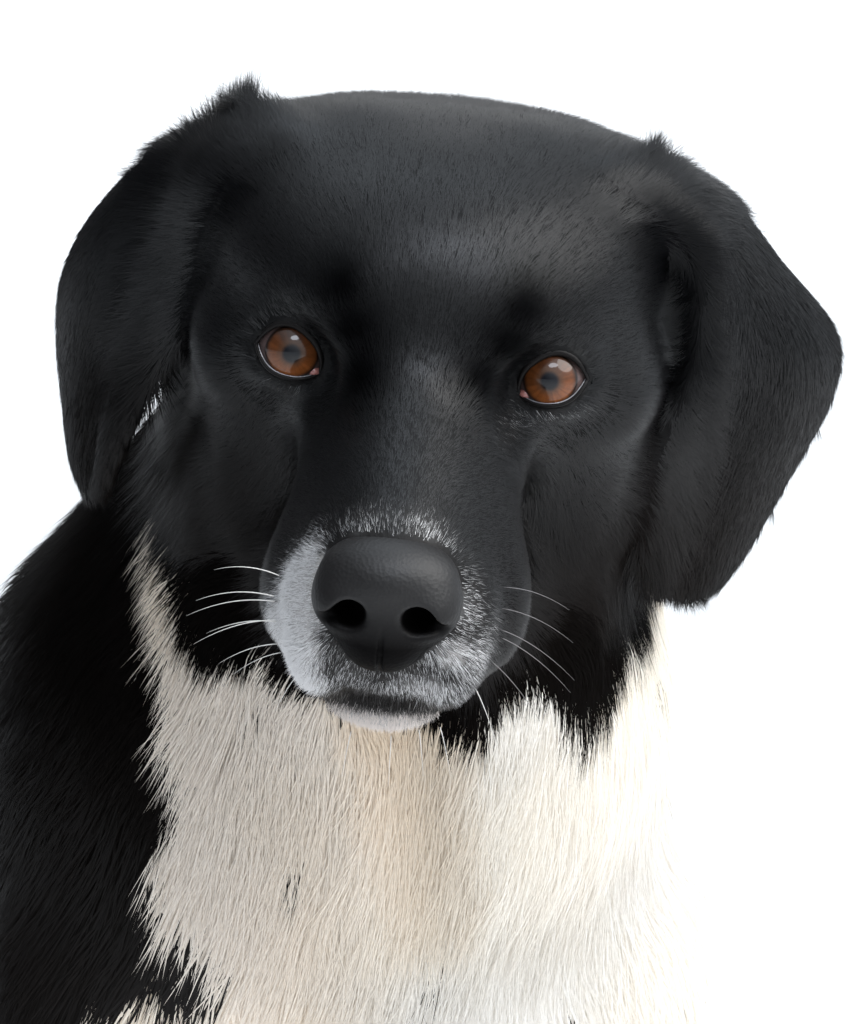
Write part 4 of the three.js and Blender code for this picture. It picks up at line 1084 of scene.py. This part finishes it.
def skin_tint():
    """The coat's colours, darkened as painted shade of the coat, as the skin between the tufts shows them."""
    colour = coat_colours(skin_points, skin_on_head, np.full(len(skin_points), .5))
    colour = colour * np.where(colour[:, :1] > PALE, UNDER_WHITE_SHADE, UNDER_BLACK_SHADE)
    pad = union(NOSE, skin_in_head.astype(np.float32))
    grey = np.clip(frost(skin_in_head) * skin_on_head * np.clip(pad / 5, .45, 1), 0, 1)[:, None]
    colour = colour * (1 - grey) + (UNDER_GREY + UNDER_DENSE_GREY * grey ** 3) * grey
    colour[bare_skin(skin_in_head.astype(np.float32))] = BARE
    return colour


def skin_gloss():
    """Less than the coat's, and least in the line of the mouth."""
    gloss = glossiness(skin_points, skin_on_head) * .6
    return gloss * np.clip((mouth_distance(skin_in_head.astype(np.float32)) - .2) / 1.5, .05, 1)


def skin_material():
    material = tinted_material("skin", .62, .3)
    add_bump(material, "ShaderNodeTexNoise", .5, .0006, 650, "Fac", Detail=4)
    return material


FLESH = ["head", "ear_left", "ear_right", "neck", "chest", "hindquarters", "tail"]
FLESH += [f"{part}_{word}" for part in ("forearm", "forepaw", "thigh", "hind_foot") for _, word in SIDES]
add_piece("skin", (skin_points, skin_faces), skin_material(), FLESH, skin_tint(), skin_gloss())

# ---- coat
rng = np.random.default_rng(1151)             # every tuft's chance differences are drawn from this, in order

# by part: tufts for each square millimetre, width of a tuft, rings, size of a lock and its pull
COAT = dict(
    trunk=(.20, .9, 2, 15, .4), foreleg=(.40, .7, 2, 8, .3), hindleg=(.27, .9, 2, 12, .35),
    toes=(1.3, .5, 1, 5, .2), tail=(.40, .9, 3, 18, .5), neck=(1.15, .45, 2, 11, .28),
    head=(4.4, .30, 1, 3.0, .12), ear_left=(3.4, .36, 1, 6, .1), ear_right=(3.4, .36, 1, 6, .1),
)
# share of the skin's own normal in a tuft's
SOFTNESS = dict(head=.86, ear_left=.9, ear_right=.9, neck=.93, trunk=.9)
SOFTNESS_ELSEWHERE = .7
AIRY = ("neck", "trunk")  # light passes through the loose coat here, so it throws no shadow
PATCH = .0015             # half the width of a tuft's patch on the OFBake map
PIECE_LIMIT = 185000      # triangles in one piece of coat, at most
BARE_BELOW = 2.5          # no tufts grow under the feet, up to that height
BREAST = (-90, 330)       # the trunk's breast lies before and above this
BREAST_DENSITY, BACK_DENSITY = 3.2, .85
# a tuft starts that deep in the skin, clears it by that much, and the floor by that much
ROOT_DEPTH, OVER_SKIN, OVER_FLOOR = .6, .1, .4


def roots_on(faces, density):
    """Points spread over the four-sided faces, with the skin's normal and the evened one at each."""
    triangles = faces[:, [0, 1, 2, 0, 2, 3]].reshape(-1, 3)
    a, b, c = (skin_points[triangles[:, i]].astype(float) for i in range(3))
    area = np.linalg.norm(np.cross(b - a, c - a), axis=1) / 2
    total = np.cumsum(area * density[triangles].mean(1))
    count = int(total[-1])
    spots = (np.arange(count) + rng.random(count)) / count * total[-1]
    pick = np.minimum(np.searchsorted(total, spots), len(total) - 1)
    r, s = np.sqrt(rng.random(count))[:, None], rng.random(count)[:, None]
    weights = np.hstack([1 - r, r * (1 - s), r * s])
    point, normal, even = ((values[triangles[pick]] * weights[..., None]).sum(1)
                           for values in (skin_points, skin_normals, soft_normals))
    return point, unit(normal), unit(even)


def box_unwrap(point, normal):
    """Places on a map of six charts, one for each way that the skin faces."""
    low, high = point.min(0), point.max(0)
    size = (high - low).max()
    across = (point - low) / size
    axis = np.argmax(np.abs(normal), axis=1)
    facing = normal[np.arange(len(normal)), axis] > 0
    first = np.array([1, 0, 0])[axis]
    second = np.array([2, 2, 1])[axis]
    rows = np.arange(len(point))
    u = (axis + .04 + .92 * across[rows, first]) / 3
    v = (facing + .04 + .92 * across[rows, second]) / 2
    return np.stack([u, v], 1)


def tuft_patches(point, normal, rings):
    """Each tuft's own patch of the OFBake map, one place for each of its points."""
    corners = np.array([[(-1) ** (i + 1), -1 + 2 * (i // 2) / rings] for i in range(2 * rings + 1)], float)
    corners[-1] = (0, 1)
    return (box_unwrap(point, normal)[:, None] + corners[None] * PATCH).reshape(-1, 2)


def tuft_faces(count, rings):
    """Triangles of blades with two points at each ring and one at the tip."""
    pattern = [face for a in range(0, 2 * rings - 2, 2) for face in ((a, a + 1, a + 3), (a, a + 3, a + 2))]
    pattern.append((2 * rings - 2, 2 * rings - 1, 2 * rings))
    return (np.arange(count)[:, None, None] * (2 * rings + 1) + np.array(pattern)[None]).reshape(-1, 3)


def tuft_lie(part, point, normal, tone):
    """Which way each tuft lies on the skin, its length and its angle off the skin."""
    on_ear = part.startswith("ear")
    guides = EAR_GUIDES[part == "ear_right"] + TUFT_GUIDES if on_ear else BODY_GUIDES
    way, length, lift = lie_at(point, guides)
    tangent = unit(way - (way * normal).sum(1, keepdims=True) * normal)
    swing = rng.normal(0, .13, len(point))[:, None] + ((tone - .5) * .35)[:, None]
    swing = swing * (.6 if on_ear else 1)
    tangent = unit(tangent * np.cos(swing) + np.cross(tangent, normal) * np.sin(swing))
    length = length * (.72 + .5 * rng.random(len(point))) * (.85 + .3 * tone)
    angle = np.radians(lift * (.6 + .8 * rng.random(len(point))))
    if part in HEAD_PARTS:
        root = to_head(point)
        angle = angle + brow_darkness(root) * .1
        tip = to_head(point + tangent * length[:, None])
        length = clear_of_bare(root.astype(np.float32), tip.astype(np.float32), length)
    return tangent, length, angle


def clear_of_bare(root, tip, length):
    """The lengths, less where a tuft would reach over the mouth, the nose or an eye."""
    for distance in (mouth_distance, nose_distance, eyes_distance):
        room = np.maximum(distance(root), .5)
        length = np.where(distance(tip) < .2, np.minimum(length, room + .3), length)
    return length


def tuft_path(part, point, normal, tangent, toward, length, angle):
    """Where the middle of each tuft runs, ring by ring from its root to its tip."""
    path = []
    for share in tuft_shares(part):
        height = length * np.sin(angle) * share * (1.35 - .6 * share)
        place = point + tangent * (length * np.cos(angle) * share)[:, None]
        place = place + toward * share ** 1.5
        if share > 0 and part not in ("ear_left", "ear_right", "toes"):
            # hold the tuft to its height where the skin bends away from it or rises into it
            lifted = place + normal * height[:, None]
            away = skin_distance(lifted.astype(np.float32)) - height
            fall = 0 if part == "head" else .5 * length * share
            height = height - np.clip(away, -.5 * length * share, fall)
        place = place + normal * (height + (OVER_SKIN if share else -ROOT_DEPTH))[:, None]
        place[:, 2] = np.maximum(place[:, 2], OVER_FLOOR)
        path.append(place)
    return path


def tuft_shares(part):
    """How far along a tuft each of its rings lies, from 0 at the root to 1 at the tip."""
    rings = COAT[part][2]
    return np.arange(rings + 1) / rings


def tuft_tint(part, point, draw, tone, on_head):
    """Colours of the tufts' points, with painted shade: each tuft is darker at its root, deep in the coat,
    dark hair more so.
    """
    base = coat_colours(point, on_head, draw)
    vary = np.where(base[:, 0] > PALE, .18, 1)
    base = base * (1 + vary * (.24 * rng.random(len(point)) - .12 + .12 * (tone - .5)))[:, None]
    pale = base[:, :1] > PALE
    colours = []
    # painted shade: darker at the root, lighter towards the tip
    for share in tuft_shares(part)[:-1]:
        colours += [base * np.where(pale, .97 + .05 * share, .82 + .25 * share)] * 2
    colours.append(base * np.where(pale, 1.02, 1.1))
    return np.clip(np.stack(colours, 1).reshape(-1, 3), 0, .96)


def add_tufts(name, part, point, normal, even, material):
    """One piece of coat: thin tapering blades that lie along the skin."""
    width, rings, lock_size, pull = COAT[part][1:]
    count, each = len(point), 2 * rings + 1
    draw = rng.random(count)
    middle, tone = lock_of(point, lock_size, seed=51)
    tangent, length, angle = tuft_lie(part, point, normal, tone)
    roll = rng.normal(0, .35, count)[:, None] * (.5 if part in AIRY else 1)
    blade_side = np.cross(tangent, normal) * np.cos(roll) + normal * np.sin(roll)
    toward = middle - point
    toward -= (toward * normal).sum(1, keepdims=True) * normal
    toward *= np.minimum(1, .35 * length / np.maximum(np.linalg.norm(toward, axis=1), 1e-3))[:, None]
    path = tuft_path(part, point, normal, tangent, toward * pull, length, angle)
    wide = width * (.75 + .5 * rng.random(count))[:, None]
    points = []
    for place, share in zip(path, tuft_shares(part)[:-1]):
        reach = blade_side * wide * .5 * (1 - .35 * share)
        points += [place - reach, place + reach]
    points = np.stack(points + [path[-1]], 1).reshape(-1, 3)
    on_head = np.full(count, part in HEAD_PARTS)
    colours = tuft_tint(part, point + tangent * (.55 * length)[:, None], draw, tone, on_head)
    gloss = glossiness(point, on_head) * (.88 + .24 * rng.random(count))
    faces = tuft_faces(count, rings)
    thing = add_piece(name, (points, faces), material, (), colours, np.repeat(gloss, each))
    thing.visible_shadow = part not in AIRY
    blade_normal = np.cross(tangent, blade_side)
    blade_normal *= np.sign((blade_normal * normal).sum(1, keepdims=True))
    share = SOFTNESS.get(part, SOFTNESS_ELSEWHERE)
    soft = np.repeat(unit(share * even + (1 - share) * blade_normal), each, axis=0)
    layer = thing.data.attributes.new("custom_normal", "FLOAT_VECTOR", "POINT")
    layer.data.foreach_set("vector", soft.astype(np.float32).ravel())
    layer = thing.data.uv_layers.new(name="OFBake")
    patches = tuft_patches(point, normal, rings)
    layer.data.foreach_set("uv", patches[faces.ravel()].astype(np.float32).ravel())


def bands(point, count, part):
    """Cuts a part's roots into bands from the dog's right to its left, each with as many roots."""
    if count < 2:
        return [(part, np.ones(len(point), bool))]
    edges = np.quantile(point[:, 0], np.arange(1, count) / count)
    band = np.searchsorted(edges, point[:, 0])
    return [(f"{part}_{i + 1}", band == i) for i in range(count)]


def make_coat():
    black, white = tinted_material("black_fur", .42, .42), tinted_material("white_fur", .7, .25)
    bare = bare_skin(skin_in_head.astype(np.float32)) | (skin_points[:, 2] <= BARE_BELOW)
    for number, part in enumerate(PART_NAMES):
        mine = skin_part == number
        density = np.where(mine & ~bare, COAT[part][0], 0)
        if part == "trunk":
            breast = (skin_points[:, 1] < BREAST[0]) & (skin_points[:, 2] > BREAST[1])
            density = density * np.where(breast, BREAST_DENSITY, BACK_DENSITY)
        point, normal, even = roots_on(skin_faces[mine[skin_faces].any(1)], density)
        if part == "head":
            grown = ~bare_skin(to_head(point).astype(np.float32))
            point, normal, even = point[grown], normal[grown], even[grown]
        triangles = len(point) * (2 * COAT[part][2] - 1)
        pale = part in ("neck", "foreleg", "toes")
        for label, chosen in bands(point, math.ceil(triangles / PIECE_LIMIT), part):
            add_tufts(f"coat_{label}", part, point[chosen], normal[chosen], even[chosen],
                      white if pale else black)


make_coat()


# ---- eyes
EYE_AROUND, EYE_RINGS = 120, 71
CORNEA_BULGE = 1.15
LIDS_OUT, TEARS_OUT = 1.1, .45               # the rims of the lids and the tears run that far off the ball
CARUNCLE_AT, CARUNCLE_RADII = (8.7, -5.6, -2.9), (2.2, 2.2, 1.8)
AMBER = np.array([.125, .038, .0095])
IRIS_INNER, IRIS_RIM = np.array([.07, .034, .018]), np.array([.006, .004, .003])
# the eye's white is coloured dark and brownish: its own tint, and painted shade from the lids over it
PUPIL, EYE_WHITE_SHADED = np.array([.003, .004, .007]), np.array([.085, .058, .055])


def make_eye(side, name, material):
    """An eyeball with its iris turned to the camera, painted ring by ring."""
    centre = from_head(EYE_SEAT * (side, 1, 1))
    azimuth = math.radians(CAMERA_AZIMUTH)
    aside = GAZE_ASIDE * np.array([math.cos(azimuth), math.sin(azimuth), 0])
    gaze = unit(CAMERA_POINT - aside - (0, 0, GAZE_BELOW) - centre)
    across = unit(np.cross(gaze, (0, 0, 1)))
    up = np.cross(across, gaze)
    polar = np.linspace(0, math.pi, EYE_RINGS + 2)[1:-1]
    polar = polar ** 1.25 / math.pi ** .25              # the rings are closer together at the iris
    angle = np.arange(EYE_AROUND) / EYE_AROUND * 2 * math.pi
    spread, turned = np.meshgrid(polar, angle, indexing="ij")
    spread = np.append(spread.ravel(), [0, math.pi])
    turned = np.append(turned.ravel(), [0, 0])
    off = EYE_RADIUS * np.sin(np.minimum(spread, math.pi / 2))
    bulge = CORNEA_BULGE * np.clip(1 - (off / (IRIS_RADIUS + .6)) ** 2, 0, 1) * (spread < math.pi / 2)
    reach = EYE_RADIUS + bulge
    x, z = np.sin(spread) * np.cos(turned), np.sin(spread) * np.sin(turned)
    place = (np.cos(spread)[:, None] * gaze + x[:, None] * across + z[:, None] * up) * reach[:, None]
    mesh = centre + place, capped_faces(EYE_RINGS, EYE_AROUND, turned=True)
    add_piece(name, mesh, material, [name.replace("ball", "")], eye_tint(off, turned, spread, side))


def eye_tint(off, turned, spread, side):
    """Pupil, iris with its fibres, dark rim and white, by distance from the middle of the iris."""
    # noise read round a circle, so that it runs in streaks from the pupil outwards
    streak_at = np.stack([np.cos(turned) * 9, np.sin(turned) * 9, np.full_like(off, 3.0 * side)], 1)
    streak = noise(streak_at, .55, seed=61) * .6 + noise(streak_at, 1.6, seed=62) * .4
    share = np.clip((off - PUPIL_RADIUS) / (IRIS_RADIUS - PUPIL_RADIUS), 0, 1)
    amber = AMBER * (.5 + .9 * streak)[:, None]
    # painted light and shade: the iris is coloured darker above, for the upper lid's shade, and brighter
    # below, for the light gathered through the cornea
    amber *= (1 - .6 * np.sin(turned))[:, None]          # brighter below, where light gathers
    iris = IRIS_INNER + (amber - IRIS_INNER) * np.clip(share * 2.4, 0, 1)[:, None]
    rim = np.clip((share - .72) / .24, 0, 1)[:, None] ** 1.3
    iris = iris * (1 - rim) + IRIS_RIM * rim
    pupil = np.clip((PUPIL_RADIUS + .5 - off) / 1.0, 0, 1)[:, None]
    colour = iris * (1 - pupil) + PUPIL * pupil
    vein = noise(streak_at * 1.4, .5, seed=63)[:, None]
    white = EYE_WHITE_SHADED * (.8 + .3 * vein)
    outside = np.clip((off - IRIS_RADIUS) / .5, 0, 1)[:, None]
    outside[spread > math.pi / 2] = 1
    return colour * (1 - outside) + white * outside


def eye_material():
    material = tinted_material("eye", .45, .1)
    for key, value in {"Coat Weight": .7, "Coat Roughness": .03, "Coat IOR": 1.5}.items():
        shader_of(material).inputs[key].default_value = value
    return material


def lid_path(side, share, radius, inset=0.0):
    """A point of the lids' edge for each share of the way round, on a ball round the eye."""
    angle = share * 2 * math.pi
    across, up = np.cos(angle), np.sin(angle)
    near_end, far_end = np.zeros(len(angle)), np.full(len(angle), radius * .93)
    for _ in range(24):
        middle = (near_end + far_end) / 2
        inside = lid_outline(across * middle, up * middle, side) < -inset
        near_end, far_end = np.where(inside, middle, near_end), np.where(inside, far_end, middle)
    x, z = across * near_end, up * near_end
    local = np.stack([x, -np.sqrt(radius ** 2 - x * x - z * z), z], 1)
    return from_head(local @ lid_axes(side).T + EYE_SEAT * (side, 1, 1))


def make_eyes():
    ball = eye_material()
    rim = plain_material("lid_rim", (.0040, .0030, .0028), .5, .16)
    add_bump(rim, "ShaderNodeTexNoise", .35, .0003, 900, "Fac")
    # painted highlight: the wet line along the lower lid is coloured pale grey, standing in for the glint of
    # the tears
    tear_glint = plain_material("tear_highlight", (.34, .33, .35), .12, .5, .5)
    pink = plain_material("caruncle", (.42, .17, .15), .25, .5, .5)
    add_bump(pink, "ShaderNodeTexNoise", .3, .0003, 1100, "Fac")
    for side, word in SIDES:
        make_eye(side, f"eyeball_{word}", ball)
        share = np.arange(96) / 96
        rise = np.sin(share * 2 * math.pi)
        # the rim is made thicker above: the dark margin of the upper lid, and with it a dark band standing in
        # for the shade under the upper lid
        thick = .50 + .12 * np.abs(rise) + .65 * np.clip(rise, 0, 1) ** .7
        edge = ring_tube(lid_path(side, share, EYE_RADIUS + LIDS_OUT), thick)
        add_piece(f"lid_rim_{word}", edge, rim)
        low = lid_path(side, np.linspace(.54, .96, 40), EYE_RADIUS + TEARS_OUT, .55)
        line = tube(low, .38 * np.sin(np.linspace(.25, math.pi - .25, 40)) ** .5)
        add_piece(f"tear_highlight_{word}", line, tear_glint)
        corner = np.array(CARUNCLE_AT) * (-side, 1, 1) @ lid_axes(side).T + EYE_SEAT * (side, 1, 1)
        add_piece(f"caruncle_{word}", ball_mesh(from_head(corner), CARUNCLE_RADII), pink)


make_eyes()


# ---- nose
NOSE_BOX = ((-25, 25), (-104, -68), (-60, -11))         # along x, y and z of the head's frame
NOSE_BLACK = np.array([.0072, .0064, .0066])


def make_nose():
    axes = [np.arange(low, high, NOSE_STEP, dtype=np.float32) for low, high in NOSE_BOX]
    points, faces = surface_net(sampled(nose_distance, axes), axes)
    points = settled(nose_distance, points)
    material = tinted_material("nose_leather", .5, .38)
    add_bump(material, "ShaderNodeTexVoronoi", .22, .0004, 900, "Distance")
    # painted shade: the pad is coloured darker and shines less on its lower half, and darker still in the
    # nostrils' hollows
    above = np.clip((points[:, 2] + 42) / 16, 0, 1)
    nostril_shade = np.clip((-union(NOSE, points) - .8) / 1.5, 0, 1)
    gloss = (.07 + .93 * above) * (1 - .85 * nostril_shade)
    colour = NOSE_BLACK * (.35 + .65 * above)[:, None] * (1 - .7 * nostril_shade)[:, None]
    add_piece("nose_pad", (from_head(points), faces), material, ["nose"], colour, gloss)


make_nose()


# ---- claws
def make_claws():
    material = plain_material("claw", (.035, .027, .022), .35, .5)
    add_bump(material, "ShaderNodeTexNoise", .3, .0003, 700, "Fac")
    for paw, (x, y, z) in PAWS.items():
        for side, word in SIDES:
            claws = joined([claw((side * (x + aside), y + back, z), side * -TOE_SPREAD * spread)
                            for aside, back, spread in TOE_FAN])
            names = [f"claw_{paw}_{word}_{i + 1}" for i in range(len(TOE_FAN))]
            add_piece(f"claws_{paw}_{word}", claws, material, names)


def claw(toe, yaw):
    """A curved claw out of the toe's front."""
    share = np.linspace(0, 1, 9)
    bend = 5 * share ** 1.8
    path = np.stack([0 * share, -13 - 13.5 * share, 2.5 - bend], 1) @ turn(yaw, 0, 0).T + toe
    return tube(path, 3.2 * (1 - share ** 1.5) + .5, 12)


make_claws()


# ---- whiskers
# root on the muzzle or brow and the way it points, in the head's frame; length, thickness, whiteness
WHISKERS = [
    ((-33, -70, -38), (-1, -.1, .42), 21, .30, 1), ((-34, -72, -44), (-1, -.2, .3), 24, .30, 1),
    ((-34, -68, -48), (-1, -.1, .1), 26, .30, 1), ((-33, -72, -52), (-1, -.2, .0), 24, .30, 1),
    ((-33, -66, -56), (-1, -.1, .1), 21, .30, 1), ((-32, -72, -60), (-1, -.2, -.05), 17, .28, 1),
    ((-31, -70, -64), (-1, -.2, -.2), 14, .24, 1), ((-26, -74, -70), (-.6, -.3, -.9), 9, .22, 1),
    ((33, -66, -36), (1, -.1, .15), 20, .24, .3), ((33, -68, -42), (1, -.1, 0), 22, .24, .3),
    ((33, -70, -48), (1, -.1, -.2), 24, .24, .4), ((33, -64, -54), (1, 0, -.35), 24, .24, .4),
    ((31, -68, -60), (.9, -.1, -.6), 20, .24, .4), ((27, -70, -68), (.6, -.2, -.9), 16, .24, .8),
    ((12, -72, -84), (.25, -.3, -1), 11, .22, .8), ((4, -74, -86), (.05, -.35, -1), 12, .22, .9),
    ((18, -66, -86), (.4, -.2, -1), 12, .22, .6), ((-8, -74, -86), (-.15, -.35, -1), 11, .22, .9),
]
SAG = np.array([0, .2, -.9])
WHISKER_KINDS = (("white", "white_coat", (.75, .73, .7)), ("grey", "black_coat", (.16, .15, .15)))


def make_whiskers():
    made = dict(white=[], grey=[])
    share = np.linspace(0, 1, 12)[:, None]
    for root, way, length, thickness, pale in WHISKERS:
        path = np.array(root, float) + unit(np.array(way, float)) * length * share
        path = path + SAG * length * share ** 2 * .45
        hair = tube(from_head(path), thickness * .5 * (1.02 - share[:, 0] ** 1.4) + .03, 6)
        made["white" if pale > .55 else "grey"].append(hair)
    for kind, slot, colour in WHISKER_KINDS:
        name = f"whiskers_{kind}"
        add_piece(name, joined(made[kind]), plain_material(name, colour, .35))


make_whiskers()


# ---- stage and light
FLOOR_SIZE = 60
LIGHT_FROM = (.38, -.42, .82)       # the bright part of the sky: above, and to the right in the picture
SKY = ((.25, (.05, .05, .055)), (1.0, (.86, .93, 1.0)))     # place on the ramp and colour
SKY_STRENGTH = 1.5


def make_stage():
    bpy.ops.mesh.primitive_plane_add(size=FLOOR_SIZE, location=(0, 0, 0))
    floor = bpy.context.object
    floor.name = "floor"
    material = plain_material("floor", (.86, .865, .875), .7, .2)
    add_bump(material, "ShaderNodeTexNoise", .05, .002, 30, "Fac")
    floor.data.materials.append(material)


def area_light(name, place, aim, size, power, colour):
    data = bpy.data.lights.new(name, "AREA")
    data.shape = "ELLIPSE"
    data.size, data.size_y = size
    data.energy = power
    data.color = colour
    return new_object(name, data, place, (Vector(aim) - Vector(place)).to_track_quat("-Z", "Y"))


def make_sky():
    world = bpy.data.worlds.new("sky")
    bpy.context.scene.world = world
    world.use_nodes = True
    tree, links = world.node_tree, world.node_tree.links
    place = add_node(tree, "ShaderNodeTexCoord")
    toward = add_node(tree, "ShaderNodeVectorMath", "DOT_PRODUCT")
    toward.inputs[1].default_value = LIGHT_FROM
    spread = add_node(tree, "ShaderNodeMapRange", From_Min=-.5)
    ramp = add_node(tree, "ShaderNodeValToRGB")
    ramp.color_ramp.interpolation = "EASE"
    for element, (position, colour) in zip(ramp.color_ramp.elements, SKY):
        element.position, element.color = position, (*colour, 1)
    sky = tree.nodes["Background"]
    sky.inputs["Strength"].default_value = SKY_STRENGTH
    links.new(place.outputs["Generated"], toward.inputs[0])
    links.new(toward.outputs["Value"], spread.inputs["Value"])
    links.new(spread.outputs["Result"], ramp.inputs["Fac"])
    links.new(ramp.outputs["Color"], sky.inputs["Color"])


def make_lights():
    """A key from the dog's front left, a weak lamp above, one in front for gloss and one behind."""
    make_sky()
    eyes = placed(EYES)
    area_light("key", eyes + (1.10, -1.30, 1.50), eyes + (0, .1, -.2), (2.4, 2.0), 66, (1, .985, .96))
    area_light("top", eyes + (.15, .35, 1.6), eyes + (0, .1, -.2), (1.3, 1.0), 5, (.80, .90, 1))
    front = area_light("front", eyes + (-.40, -1.20, 1.56), eyes, (1.1, .6), 17, (.84, .90, 1))
    front.visible_diffuse = False            # it shows as gloss and adds no light of its own
    area_light("backdrop", (5.0, 8.4, 5.0), (5.6, 9.4, 0), (12, 12), 480, (1, 1, 1))


make_stage()
make_lights()
bpy.context.scene.view_settings.view_transform = "Standard"
